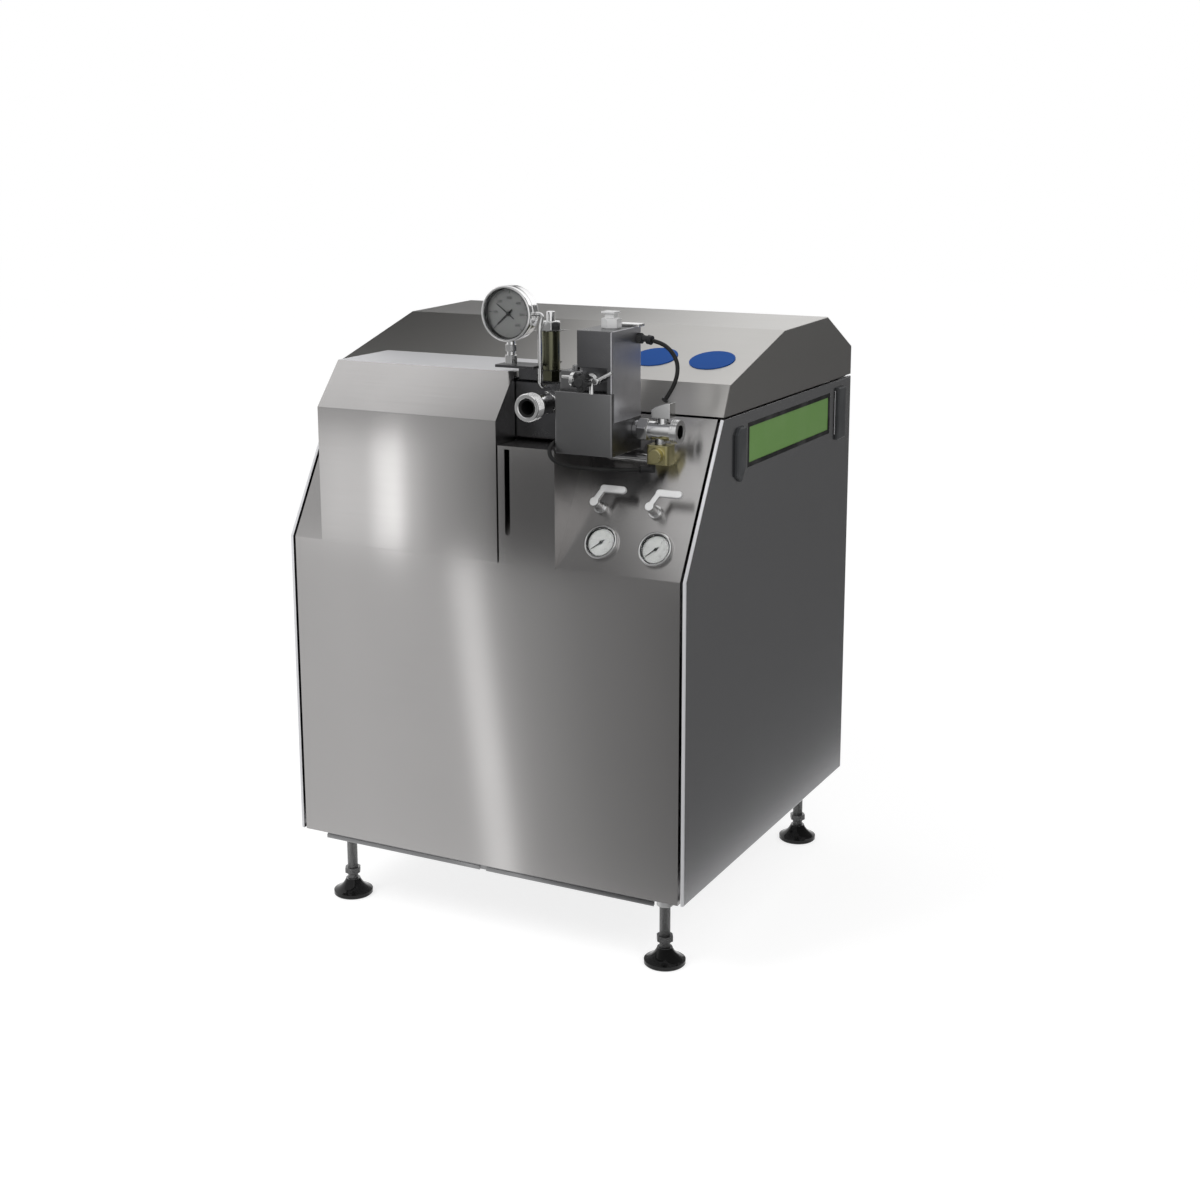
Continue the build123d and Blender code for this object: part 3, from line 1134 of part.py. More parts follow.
def round_gauge(plane, radius, depth, rim, body_radius, back):
    """A gauge's case, dial and needle on a plane that is its front, plus its glass."""
    lower = (Align.CENTER, Align.CENTER, Align.MIN)
    case = plane.offset(-depth) * Cylinder(radius, depth, align=lower)
    if back:
        case += plane.offset(-depth - back) * Cylinder(body_radius, back, align=lower)
    hollow = depth - 1.5 if back else 14.0
    case -= plane.offset(-hollow) * Cylinder(radius - rim, hollow + 1, align=lower)
    dial = plane.offset(-hollow) * Cylinder(radius - rim - SEAT, 1.0, align=lower)
    spindle = 1.6
    case -= plane.offset(-hollow - 2) * Cylinder(spindle + SLIP, 3.0, align=lower)
    dial -= plane.offset(-hollow) * Cylinder(spindle + SLIP, 3.0, align=lower)
    glass = plane.offset(-2.5) * Cylinder(radius - rim - SEAT, 1.5, align=lower)
    return case, dial, glass, hollow, spindle


def needle(plane, hollow, spindle, length, angle, width):
    """A tapered pointer with a tail on its spindle, turned to an angle from the dial's X."""
    lift = hollow - 2.2
    shape = make_face(Polyline((length, 0.35), (0, width), (-length * 0.34, width * 0.8),
                               (-length * 0.34, -width * 0.8), (0, -width), (length, -0.35), close=True))
    pointer = extrude(plane.offset(-lift) * (Rot(0, 0, angle) * shape), amount=0.8)
    lower = (Align.CENTER, Align.CENTER, Align.MIN)
    hub = plane.offset(-lift) * Cylinder(2.6 * width, 1.4, align=lower)
    pin = plane.offset(-hollow - 1.5) * Cylinder(spindle, hollow + 1.5 - lift, align=lower)
    return pointer + hub + pin


def main_gauge_plane():
    """Front of the large gauge, facing forward."""
    x, y, z = GAUGE_AT
    return Plane(origin=(x, at_y(y), z), x_dir=(1, 0, 0), z_dir=(0, -1, 0))


def main_gauge():
    """The large gauge's case with its rim and its hexagon connection."""
    plane = main_gauge_plane()
    case, dial, glass, hollow, spindle = round_gauge(plane, GAUGE_RADIUS, GAUGE_DEPTH, GAUGE_RIM, 0, 0)
    back = case.edges().filter_by(GeomType.CIRCLE).sort_by(Axis.Y)[-1]
    case = fillet(back, 6.0)
    stem_top = GAUGE_AT[2] - GAUGE_RADIUS - 6
    x, y = GAUGE_AT[0], at_y(GAUGE_STEM_Y)
    case += rod(8.0, (x, y, stem_top), (x, y, stem_top + 8))
    pointer = needle(plane, hollow, spindle, GAUGE_RADIUS * 0.62, 222.0, 1.5)
    return case, dial, glass, pointer


def capillary():
    """Bent tube from the gauge case's right side down and back into the pump head's front."""
    x = GAUGE_AT[0] + GAUGE_RADIUS
    z = GAUGE_AT[2]
    rear, front = at_y(GAUGE_AT[1] + 24), at_y(CAPILLARY_Y)
    low = HEAD_Z[1] - HEAD_CHAMFER - CAPILLARY_RADIUS - 1
    points = [(x, rear, z), (CAPILLARY_X, rear, z), (CAPILLARY_X, front, z - 25),
              (CAPILLARY_X, front, low), (CAPILLARY_X, at_y(HEAD_Y[0]), low)]
    route = FilletPolyline(*points, radius=[8.0, 30.0, 12.0])
    start = Plane(origin=route @ 0, z_dir=route % 0)
    tube = sweep(start * Circle(CAPILLARY_RADIUS), path=route)
    return tube


def relief_valve():
    """Upright relief valve: foot, barrel, hexagon cap and adjusting stud."""
    x, y = RELIEF_AT[0], at_y(RELIEF_AT[1])
    foot_top = HEAD_Z[1] + RELIEF_FOOT
    valve = nut(30.0, (x, y, HEAD_Z[1]), (x, y, foot_top), ends=(1,))
    valve += rod(RELIEF_RADIUS, (x, y, foot_top), (x, y, RELIEF_TOP))
    valve += nut(2 * RELIEF_RADIUS, (x, y, RELIEF_TOP), (x, y, RELIEF_TOP + 17))
    return valve + rod(8.0, (x, y, RELIEF_TOP + 17), (x, y, RELIEF_TOP + 35))


def small_gauge(index):
    """A panel gauge's case, dial, glass and needle, square to the sloping panel."""
    x, z = SMALL_GAUGES[index]
    plane = slope_plane(x, z, SMALL_GAUGE_PROUD)
    reach = SMALL_GAUGE_PROUD - SEAT
    case, dial, glass, hollow, spindle = round_gauge(
        plane, SMALL_GAUGE_RADIUS, reach, 4.0, SMALL_GAUGE_BODY, SMALL_GAUGE_BACK)
    pointer = needle(plane, hollow, spindle, SMALL_GAUGE_RADIUS * 0.66, 222.0, 1.2)
    return case, dial, glass, pointer


def regulator_body(index):
    """Body of a hand valve: panel flange, neck outside and spigot inside."""
    x, z = REGULATORS[index]
    lower = (Align.CENTER, Align.CENTER, Align.MIN)
    body = slope_plane(x, z, SEAT) * Cylinder(REGULATOR_RADIUS, REGULATOR_FLANGE, align=lower)
    body += slope_plane(x, z, SEAT) * Cylinder(REGULATOR_NECK, REGULATOR_HEIGHT, align=lower)
    spigot = Cylinder(REGULATOR_SPIGOT, REGULATOR_BEHIND + 6, align=lower)
    body += slope_plane(x, z, -REGULATOR_BEHIND) * spigot
    bore = Cylinder(REGULATOR_SPINDLE + SLIP, REGULATOR_HEIGHT + 12, align=lower)
    return body - slope_plane(x, z, REGULATOR_FLANGE - 1) * bore


def regulator_lever(index):
    """Cranked hand lever on its spindle: up the panel a little, then a flat grip to the right."""
    x, z = REGULATORS[index]
    lower = (Align.CENTER, Align.CENTER, Align.MIN)
    base = slope_plane(x, z, REGULATOR_HEIGHT + 1.0)
    run, rise = HANDLE_CRANK
    crank = Pos(run / 2, rise / 2) * SlotOverall(math.hypot(run, rise) + 11, 11.0,
                                                 rotation=math.degrees(math.atan2(rise, run)))
    grip = Pos(run - HANDLE_WIDTH / 2 + HANDLE_LENGTH / 2, rise) * SlotOverall(HANDLE_LENGTH, HANDLE_WIDTH)
    lever = extrude(base * (Circle(9.0) + crank + grip), amount=HANDLE_THICK)
    spindle = Cylinder(REGULATOR_SPINDLE, REGULATOR_HEIGHT - 4.0, align=lower)
    return lever + slope_plane(x, z, REGULATOR_FLANGE) * spindle


def placed(points, right):
    """A hose's points as places in the model, measured out from an X."""
    return [Vector(right + x, at_y(y), z) for x, y, z in points]


def upper_route():
    """Corners of the hose from the actuator block down to the outlet."""
    return placed(UPPER_HOSE, BLOCK_X[1])


def lower_route():
    """Corners of the hose from the head, round the valve block to the brass body."""
    return placed(LOWER_HOSE_START, HEAD_X[1]) + placed(LOWER_HOSE_REST, BLOCK_X[1])


def hose(corners):
    """A hose as straight runs joined by tangent arcs, each as large as its runs allow."""
    radii = []
    for before, corner, after in zip(corners, corners[1:], corners[2:]):
        into, out = corner - before, after - corner
        turn = math.radians(into.get_angle(out))
        radii.append(0.45 * min(into.length, out.length) / math.tan(turn / 2))
    route = FilletPolyline(*corners, radius=radii)
    start = Plane(origin=route @ 0, z_dir=route % 0)
    tube = sweep(start * Circle(HOSE_RADIUS), path=route)
    expected = math.pi * HOSE_RADIUS**2 * route.length
    print("hose radii", [round(r) for r in radii])
    print("hose length", round(route.length, 1), "volume ratio", round(tube.volume / expected, 4))
    return tube


def hose_ends():
    """Black sockets that hold the hoses' ends: by the outlet, on the head and under the block."""
    upper, lower = upper_route(), lower_route()
    start, end = upper[-1], lower[-1]
    run = (start - upper[-2]).normalized()
    socket = rod(6.5, tuple(start), tuple(start + run * 5))
    first = tuple(lower[0])
    head = rod(7.0, first, (first[0], at_y(HEAD_Y[0]), first[2]))
    run = (end - lower[-2]).normalized()
    corner = end + run * 22
    elbow = rod(6.5, tuple(end), tuple(corner))
    elbow += rod(6.5, (corner.X, corner.Y, corner.Z - 6), (corner.X, corner.Y, BRASS_TOP - BRASS_SIZE[2]))
    return [socket, head, elbow]


def save(name, shape):
    """Write one node, made of one solid or a group of separate solids."""
    solids = []
    for piece in shape if isinstance(shape, (list, tuple)) else [shape]:
        solids += piece.solids()
    export_step(Compound(children=solids) if len(solids) > 1 else solids[0], f"parts/{name}.step")


def main():
    os.makedirs("parts", exist_ok=True)
    save("frame", frame() + motor_rails())
    save("floor_pan", floor_pan())
    for name, side_x, side_y in (("foot_front_left", -1, -1), ("foot_front_right", 1, -1),
                                 ("foot_rear_left", -1, 1), ("foot_rear_right", 1, 1)):
        save(name, foot(side_x, side_y))
    save("front_panel", front_panel())
    save("left_side_panel", side_panel(-1))
    save("right_side_panel", side_panel(1))
    save("side_window", window_pane())
    save("window_seal", window_seal())
    save("window_bars", window_bars())
    save("rear_panel", rear_panel())
    save("cable_gland", cable_gland())
    save("hood", hood())
    save("hood_discs", hood_discs())
    save("hinge_lower_leaves", [hinge_leaf(x, False) for x in HINGE_X] + hinge_pins())
    save("hinge_upper_leaves", [hinge_leaf(x, True) for x in HINGE_X])
    save("plunger_cover", plunger_cover())
    save("head_skirt", head_skirt())
    save("pump_head", pump_head())
    save("valve_caps", valve_caps())
    save("plunger_glands", plunger_glands())
    for index in range(PLUNGER_COUNT):
        save(f"plunger_{index + 1}", plunger(index))
    save("side_plates", side_plates())
    save("crankcase", crankcase())
    save("crankcase_cover", crankcase_cover())
    save("motor", motor())
    save("motor_pulley", pulley(MOTOR_PITCH_RADIUS, MOTOR_SHAFT_RADIUS,
                                (at_y(MOTOR_Y), MOTOR_Z), MOTOR_X[0] + MOTOR_SHAFT_DEPTH))
    save("driven_pulley", pulley(DRIVEN_PITCH_RADIUS, INPUT_SHAFT_RADIUS,
                                 (at_y(INPUT_SHAFT_Y), INPUT_SHAFT_Z), CRANKCASE_X[0] + INPUT_SHAFT_DEPTH))
    save("drive_belts", belts())
    save("inlet_union", inlet())
    save("valve_block", valve_block())
    save("actuator_block", tall_block())
    save("cap_nut", cap_nut())
    save("actuator_fitting", actuator_fitting())
    save("outlet_union", outlet())
    save("brass_valve", brass_valve())
    save("drain_tube", drain_tube())
    save("bleed_valve", bleed_body())
    save("star_knob", star_knob())
    save("bleed_lever", bleed_lever())
    save("gauge_mount", gauge_mount())
    case, dial, glass, pointer = main_gauge()
    save("main_gauge_case", case)
    save("main_gauge_needle", pointer)
    save("gauge_tube", capillary())
    save("relief_valve", relief_valve())
    small = [small_gauge(i) for i in range(len(SMALL_GAUGES))]
    save("panel_gauge_cases", [g[0] for g in small])
    save("gauge_dials", [dial] + [g[1] for g in small])
    save("gauge_glasses", [glass] + [g[2] for g in small])
    save("left_gauge_needle", small[0][3])
    save("right_gauge_needle", small[1][3])
    save("hand_valve_bodies", [regulator_body(i) for i in range(len(REGULATORS))])
    save("left_hand_lever", regulator_lever(0))
    save("right_hand_lever", regulator_lever(1))
    save("upper_hose", hose(upper_route()))
    save("lower_hose", hose(lower_route()))
    save("hose_ends", hose_ends())


if __name__ == "__main__":
    main()
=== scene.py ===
# %% [markdown]
# # Dressing a dairy homogenizer
#
# A homogenizer is a three-plunger pump in a stainless steel cabinet. Its valve
# head, gauges and hand levers stand at the front, in reach of the operator.
# The measured solids come in first and never move. This lesson gives them the
# finish of the real machine, and adds what a solid model leaves out: printed
# dials, threads, soft edges and two thin rubber hoses.

# %% Load the measured machine
import bpy
import bmesh
import json
import math
from mathutils import Matrix, Vector

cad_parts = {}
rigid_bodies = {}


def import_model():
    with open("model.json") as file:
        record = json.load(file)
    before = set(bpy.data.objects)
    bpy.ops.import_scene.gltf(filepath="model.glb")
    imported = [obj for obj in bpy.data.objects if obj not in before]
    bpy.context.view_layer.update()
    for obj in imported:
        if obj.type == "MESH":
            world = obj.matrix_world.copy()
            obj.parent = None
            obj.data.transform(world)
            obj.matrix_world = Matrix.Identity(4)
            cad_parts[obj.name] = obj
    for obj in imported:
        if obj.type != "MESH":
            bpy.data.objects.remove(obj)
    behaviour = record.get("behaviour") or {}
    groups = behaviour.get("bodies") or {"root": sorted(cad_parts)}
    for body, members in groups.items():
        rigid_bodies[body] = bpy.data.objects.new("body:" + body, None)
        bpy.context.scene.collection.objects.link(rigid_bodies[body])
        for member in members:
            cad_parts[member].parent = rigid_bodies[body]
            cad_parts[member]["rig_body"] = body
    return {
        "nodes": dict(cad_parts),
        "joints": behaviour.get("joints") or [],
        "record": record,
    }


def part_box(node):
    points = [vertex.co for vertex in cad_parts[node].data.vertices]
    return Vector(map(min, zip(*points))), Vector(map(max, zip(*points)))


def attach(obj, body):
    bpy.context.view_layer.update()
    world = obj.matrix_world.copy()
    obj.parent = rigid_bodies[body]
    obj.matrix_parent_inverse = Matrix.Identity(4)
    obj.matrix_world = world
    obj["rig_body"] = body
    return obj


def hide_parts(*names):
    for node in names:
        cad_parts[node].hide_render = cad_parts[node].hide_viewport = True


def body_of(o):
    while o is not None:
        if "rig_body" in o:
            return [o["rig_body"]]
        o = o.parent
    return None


for leftover in list(bpy.data.objects):
    bpy.data.objects.remove(leftover)
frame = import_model()
machine = frame["nodes"]
joints = {joint["name"]: joint for joint in frame["joints"]}
mounts = {mount["name"]: mount for mount in frame["record"]["mounts"]}
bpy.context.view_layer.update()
print("nodes:", len(machine), "joints:", len(joints), "mounts:", len(mounts))

# %% [markdown]
# ## The camera
#
# The photograph shows the machine from its front right corner, from about eye
# height. A camera can be set by eye, but then no edge falls quite where the
# picture has it. These angles, this place and this lens were worked out from
# the cabinet's corners: with them the corners land on those in the picture. A
# small upward shift keeps the frame as the photographer cut it.

# %% Stand the camera where the photographer stood
ROUND, DOWN, ROLL = 27.31, 12.08, -0.13
PHOTO_PLACE = (1.707, -3.224, 1.550)
PHOTO_LENS = 53.997
PHOTO_SHIFT = -0.07


def camera_axes(round_deg, down_deg, roll_deg):
    """Right, up and backward directions of a camera that looks at the machine."""
    turn, tilt, roll = (math.radians(a) for a in (round_deg, down_deg, roll_deg))
    ahead = Vector((-math.sin(turn) * math.cos(tilt), math.cos(turn) * math.cos(tilt), -math.sin(tilt)))
    right = Vector((math.cos(turn), math.sin(turn), 0.0))
    up = right.cross(ahead)
    level, lean = math.cos(roll), math.sin(roll)
    return level * right + lean * up, level * up - lean * right, -ahead


camera_data = bpy.data.cameras.new("photo_camera")
camera_data.sensor_width = 36.0
camera_data.lens = PHOTO_LENS
camera_data.shift_y = PHOTO_SHIFT
camera_data.clip_end = 60.0
camera = bpy.data.objects.new("photo_camera", camera_data)
view_axes = Matrix(camera_axes(ROUND, DOWN, ROLL)).transposed()
camera.matrix_world = Matrix.Translation(PHOTO_PLACE) @ view_axes.to_4x4()
bpy.context.scene.collection.objects.link(camera)
bpy.context.scene.camera = camera
print("camera stands at", [round(v, 3) for v in camera.location])

# %% [markdown]
# ## Small helpers for materials
#
# Every finish is a Principled shader. A number that is the same all over a
# surface is set on the shader's own socket, and only what changes over it,
# such as grain or dust, is wired in. Nodes could be wired by hand in the node
# editor. In a script, a few helpers keep that wiring short and easy to read.

# %% Helpers for finishes and nodes
def set_inputs(node, **values):
    """Sets a node's inputs by name; an underscore stands for a space."""
    for label, value in values.items():
        node.inputs[label.replace("_", " ")].default_value = value
    return node


def new_finish(name, colour, metallic, roughness, specular=0.5):
    """A plain finish: the material, its nodes and links, and its shader."""
    material = bpy.data.materials.new(name)
    material.use_nodes = True
    nodes, links = material.node_tree.nodes, material.node_tree.links
    shader = set_inputs(nodes["Principled BSDF"], Base_Color=(*colour, 1.0), Metallic=metallic,
                        Roughness=roughness, Specular_IOR_Level=specular)
    return material, nodes, links, shader


def object_point(nodes, links, scale=(1.0, 1.0, 1.0)):
    """Object coordinates, stretched by a Mapping node."""
    stretch = set_inputs(nodes.new("ShaderNodeMapping"), Scale=scale)
    links.new(nodes.new("ShaderNodeTexCoord").outputs["Object"], stretch.inputs["Vector"])
    return stretch.outputs["Vector"]


def math_node(nodes, links, operation, *values, clamp=False):
    """A Math node whose inputs are sockets or numbers."""
    node = nodes.new("ShaderNodeMath")
    node.operation = operation
    node.use_clamp = clamp
    for socket, value in zip(node.inputs, values):
        if isinstance(value, (int, float)):
            socket.default_value = value
        else:
            links.new(value, socket)
    return node.outputs["Value"]


def colour_mix(nodes, links, share, first, second):
    """A blend of two colours, each of them a socket or plain numbers."""
    mix = nodes.new("ShaderNodeMix")
    mix.data_type = "RGBA"
    links.new(share, mix.inputs["Factor"])
    for label, colour in (("A", first), ("B", second)):
        if isinstance(colour, tuple):
            mix.inputs[label].default_value = (*colour, 1.0)
        else:
            links.new(colour, mix.inputs[label])
    return mix.outputs["Result"]


def raise_surface(nodes, links, height, strength, distance, shader):
    """Turns a height into small bumps in the shader's normal."""
    bump = set_inputs(nodes.new("ShaderNodeBump"), Strength=strength, Distance=distance)
    links.new(height, bump.inputs["Height"])
    links.new(bump.outputs["Normal"], shader.inputs["Normal"])


print("helpers ready")

# %% [markdown]
# ## Groups
#
# Grain, soft edges and dust are each used by many finishes. Their nodes could
# be copied into every material, but a correction would then have to be made
# many times. A node group is made once and has named inputs, so each material
# places it with its own values.

# %% Helpers for groups
def new_group(name, inputs, outputs):
    """A shader node group with named sockets, and its two end nodes."""
    group = bpy.data.node_groups.new(name, "ShaderNodeTree")
    for kind, label, value in inputs:
        socket = group.interface.new_socket(name=label, in_out="INPUT", socket_type=kind)
        if value is not None:
            socket.default_value = value
    for kind, label in outputs:
        group.interface.new_socket(name=label, in_out="OUTPUT", socket_type=kind)
    return group, group.nodes.new("NodeGroupInput"), group.nodes.new("NodeGroupOutput")


def place_group(nodes, group, **values):
    """One use of a group in a material, with its own values."""
    node = nodes.new("ShaderNodeGroup")
    node.node_tree = group
    return set_inputs(node, **values)


print("group helpers ready")

# %% [markdown]
# ## Brushed grain
#
# The cabinet's sheets are brushed: a belt draws fine parallel lines along the
# sheet. A picture of brushed steel would repeat and blur close up. Noise that
# is stretched a few hundred times in one direction looks the same at any size.
# The group makes these lines, a slow cloudiness where oil and hands have been,
# and a height for a shallow bump.

# %% Build the brushed grain group
def build_grain_group():
    """Fine lines along one direction, with clouds of polish over them."""
    group, start, end = new_group(
        "Brushed grain",
        [("NodeSocketVector", "Lines", None), ("NodeSocketVector", "Place", None),
         ("NodeSocketColor", "Steel", (0.5, 0.5, 0.5, 1.0)), ("NodeSocketFloat", "Roughness", 0.3),
         ("NodeSocketFloat", "Line Depth", 0.1), ("NodeSocketFloat", "Cloud Depth", 0.1)],
        [("NodeSocketColor", "Color"), ("NodeSocketFloat", "Roughness"), ("NodeSocketFloat", "Height")])
    nodes, links = group.nodes, group.links
    lines = set_inputs(nodes.new("ShaderNodeTexNoise"), Scale=1.0, Detail=4.0, Roughness=0.7)
    clouds = set_inputs(nodes.new("ShaderNodeTexNoise"), Scale=4.0, Detail=3.0)
    links.new(start.outputs["Lines"], lines.inputs["Vector"])
    links.new(start.outputs["Place"], clouds.inputs["Vector"])
    line = math_node(nodes, links, "SUBTRACT", lines.outputs["Fac"], 0.5)
    cloud = math_node(nodes, links, "SUBTRACT", clouds.outputs["Fac"], 0.5)
    line_part = math_node(nodes, links, "MULTIPLY", line, start.outputs["Line Depth"])
    cloud_part = math_node(nodes, links, "MULTIPLY", cloud, start.outputs["Cloud Depth"])
    change = math_node(nodes, links, "ADD", line_part, cloud_part)
    tint = nodes.new("ShaderNodeVectorMath")
    tint.operation = "SCALE"
    links.new(start.outputs["Steel"], tint.inputs[0])
    links.new(math_node(nodes, links, "ADD", change, 1.0), tint.inputs["Scale"])
    rough = math_node(nodes, links, "SUBTRACT", start.outputs["Roughness"], change, clamp=True)
    links.new(tint.outputs["Vector"], end.inputs["Color"])
    links.new(rough, end.inputs["Roughness"])
    links.new(lines.outputs["Fac"], end.inputs["Height"])
    return group


grain_group = build_grain_group()
print("group:", grain_group.name, [s.name for s in grain_group.interface.items_tree])

# %% [markdown]
# ## Soft edges
#
# No real edge is perfectly sharp, and the bright line along an edge is what
# tells the eye that a block is metal. A Bevel modifier would cut the measured
# mesh, so on solids that stay as they are the Bevel node rounds only the
# shading: it blends the normal near each edge. The group also gives a mask of
# the edges, where handling has polished them and where a painted highlight goes.

# %% Build the soft edge group
EDGE_RADIUS = 0.0012


def build_edge_group():
    """Rounded shading near edges, and a mask that is 1 on the edge itself."""
    group, start, end = new_group(
        "Soft edge",
        [("NodeSocketFloat", "Strength", 4.0)],
        [("NodeSocketFloat", "Edge"), ("NodeSocketVector", "Normal")])
    nodes, links = group.nodes, group.links
    bevel = set_inputs(nodes.new("ShaderNodeBevel"), Radius=EDGE_RADIUS)
    bevel.samples = 4
    across = nodes.new("ShaderNodeVectorMath")
    across.operation = "DOT_PRODUCT"
    links.new(bevel.outputs["Normal"], across.inputs[0])
    links.new(nodes.new("ShaderNodeNewGeometry").outputs["Normal"], across.inputs[1])
    away = math_node(nodes, links, "SUBTRACT", 1.0, across.outputs["Value"])
    edge = math_node(nodes, links, "MULTIPLY", away, start.outputs["Strength"], clamp=True)
    links.new(edge, end.inputs["Edge"])
    links.new(bevel.outputs["Normal"], end.inputs["Normal"])
    return group


edge_group = build_edge_group()
print("group:", edge_group.name, [s.name for s in edge_group.interface.items_tree])

# %% [markdown]
# ## Sheet steel
#
# Brushed steel spreads a highlight across its lines and hardly along them, so
# a lamp becomes a tall bright band on an upright sheet. Very deep grain could
# do that too, but it turns to noise from far away. The shader does it cleanly
# with its anisotropy and a tangent, which is the direction of the spread. The
# front and sides spread up and down; the hood spreads from front to back.

# %% Finish for the brushed sheets
SHEET_GRAIN_DEPTH = 0.0005
UP_AND_DOWN, FRONT_TO_BACK = (0, 0, 1), (0, 1, 0)


def brushed_sheet(name, colour, spread, line_scale, roughness=0.23):
    """Brushed stainless sheet whose highlight spreads along one direction."""
    material, nodes, links, shader = new_finish(name, colour, 1.0, roughness)
    set_inputs(shader, Anisotropic=0.88)
    grain = place_group(nodes, grain_group, Steel=(*colour, 1.0), Roughness=roughness,
                        Line_Depth=0.10, Cloud_Depth=0.08)
    links.new(object_point(nodes, links, line_scale), grain.inputs["Lines"])
    links.new(object_point(nodes, links), grain.inputs["Place"])
    direction = nodes.new("ShaderNodeCombineXYZ")
    for socket, value in zip(direction.inputs, spread):
        socket.default_value = value
    links.new(direction.outputs["Vector"], shader.inputs["Tangent"])
    links.new(grain.outputs["Color"], shader.inputs["Base Color"])
    links.new(grain.outputs["Roughness"], shader.inputs["Roughness"])
    raise_surface(nodes, links, grain.outputs["Height"], 0.015, SHEET_GRAIN_DEPTH, shader)
    return material


front_steel = brushed_sheet("front_steel", (0.50, 0.49, 0.485), UP_AND_DOWN, (3.0, 1500.0, 1500.0))
side_steel = brushed_sheet("side_steel", (0.42, 0.42, 0.43), UP_AND_DOWN, (3.0, 3.0, 1500.0))
hood_steel = brushed_sheet("hood_steel", (0.50, 0.49, 0.475), FRONT_TO_BACK, (3.0, 1200.0, 400.0), 0.3)
print("sheet finishes:", [m.name for m in (front_steel, side_steel, hood_steel)])

# %% [markdown]
# ## Machined and polished parts
#
# The pump head and valve blocks are solid forged steel, milled, and given a
# dark steel colour. Nuts, unions and tubes are polished. A plain metal
# shader would leave them looking like plastic models, so all of them share the
# soft edge group, and the milled faces also get the faint clouding that a
# cutter and years of milk leave behind.

# %% Finish for solid metal
# An edge's colour lies half of the way from the metal's own to a pale grey: partly polish from handling,
# partly a painted highlight.
EDGE_POLISH_AND_HIGHLIGHT = 0.5
EDGE_GREY = 0.9


def solid_metal(name, colour, roughness, cloud=0.2, fine=0.1):
    """Machined metal with smoother edges, made lighter by polish and a painted highlight."""
    material, nodes, links, shader = new_finish(name, colour, 1.0, roughness)
    grain = place_group(nodes, grain_group, Steel=(*colour, 1.0), Roughness=roughness,
                        Line_Depth=fine, Cloud_Depth=cloud)
    links.new(object_point(nodes, links, (60.0, 60.0, 60.0)), grain.inputs["Lines"])
    links.new(object_point(nodes, links, (6.0, 6.0, 6.0)), grain.inputs["Place"])
    edge = place_group(nodes, edge_group, Strength=5.0)
    bright = tuple(c + EDGE_POLISH_AND_HIGHLIGHT * (EDGE_GREY - c) for c in colour)
    lighter = colour_mix(nodes, links, edge.outputs["Edge"], grain.outputs["Color"], bright)
    links.new(lighter, shader.inputs["Base Color"])
    links.new(grain.outputs["Roughness"], shader.inputs["Roughness"])
    links.new(edge.outputs["Normal"], shader.inputs["Normal"])
    return material


forged_steel = solid_metal("forged_steel", (0.12, 0.12, 0.125), 0.30)
# A lighter grey steel: painted light on the valve block's front faces, and the plain steel of the sill
# strips.
worn_and_lit_steel = solid_metal("worn_and_lit_steel", (0.27, 0.27, 0.275), 0.32)
# A lighter copy of the dark block steel, painted light on block faces that catch more of it.
lit_face_steel = solid_metal("lit_face_steel", (0.60, 0.60, 0.63), 0.32)
olive_steel = solid_metal("olive_steel", (0.15, 0.15, 0.10), 0.25)
polished_steel = solid_metal("polished_steel", (0.72, 0.72, 0.72), 0.14, cloud=0.08, fine=0.04)
bright_steel = solid_metal("bright_steel", (0.86, 0.86, 0.86), 0.12, cloud=0.05, fine=0.03)
frame_steel = solid_metal("frame_steel", (0.45, 0.45, 0.45), 0.38)
aged_brass = solid_metal("aged_brass", (0.55, 0.50, 0.26), 0.3, cloud=0.5, fine=0.2)
motor_aluminium = solid_metal("motor_aluminium", (0.42, 0.43, 0.45), 0.5, cloud=0.25, fine=0.3)
print("solid metals ready")

# %% [markdown]
# ## Castings, plastics and rubber
#
# Cast iron is rough from the sand it was poured in. Moulded plastic has a soft
# orange-peel skin, and rubber is dull with pale dust on it. One shader could
# be tuned for each by hand, but all three are the same thing at another scale:
# a fine noise bump with patches of dust. So they share one group, and the size
# and depth of the noise tell them apart.

# %% Build the moulded skin group
def build_skin_group():
    """Grain of a casting or moulding: a colour with dust in it, and its height."""
    group, start, end = new_group(
        "Moulded skin",
        [("NodeSocketVector", "Place", None), ("NodeSocketColor", "Body", (0.1, 0.1, 0.1, 1.0)),
         ("NodeSocketColor", "Dust", (0.4, 0.4, 0.4, 1.0)), ("NodeSocketFloat", "Grain Size", 600.0),
         ("NodeSocketFloat", "Dust Amount", 0.1)],
        [("NodeSocketColor", "Color"), ("NodeSocketFloat", "Dusty"), ("NodeSocketFloat", "Height")])
    nodes, links = group.nodes, group.links
    grain = set_inputs(nodes.new("ShaderNodeTexNoise"), Detail=3.0)
    links.new(start.outputs["Place"], grain.inputs["Vector"])
    links.new(start.outputs["Grain Size"], grain.inputs["Scale"])
    patches = set_inputs(nodes.new("ShaderNodeTexNoise"), Scale=22.0, Detail=5.0)
    links.new(start.outputs["Place"], patches.inputs["Vector"])
    patch = set_inputs(nodes.new("ShaderNodeMapRange"), From_Min=0.42, From_Max=0.75)
    links.new(patches.outputs["Fac"], patch.inputs["Value"])
    dusty = math_node(nodes, links, "MULTIPLY", patch.outputs["Result"], start.outputs["Dust Amount"])
    colour = colour_mix(nodes, links, dusty, start.outputs["Body"], start.outputs["Dust"])
    links.new(colour, end.inputs["Color"])
    links.new(dusty, end.inputs["Dusty"])
    links.new(grain.outputs["Fac"], end.inputs["Height"])
    return group


skin_group = build_skin_group()
print("group:", skin_group.name, [s.name for s in skin_group.interface.items_tree])

# %% Finish for castings, plastics and rubber
SKIN_DEPTH = 0.0004
DUST_ROUGHNESS = 0.6

# Specular level of the black plastic, the rubbers and the ink.
DULL = 0.22


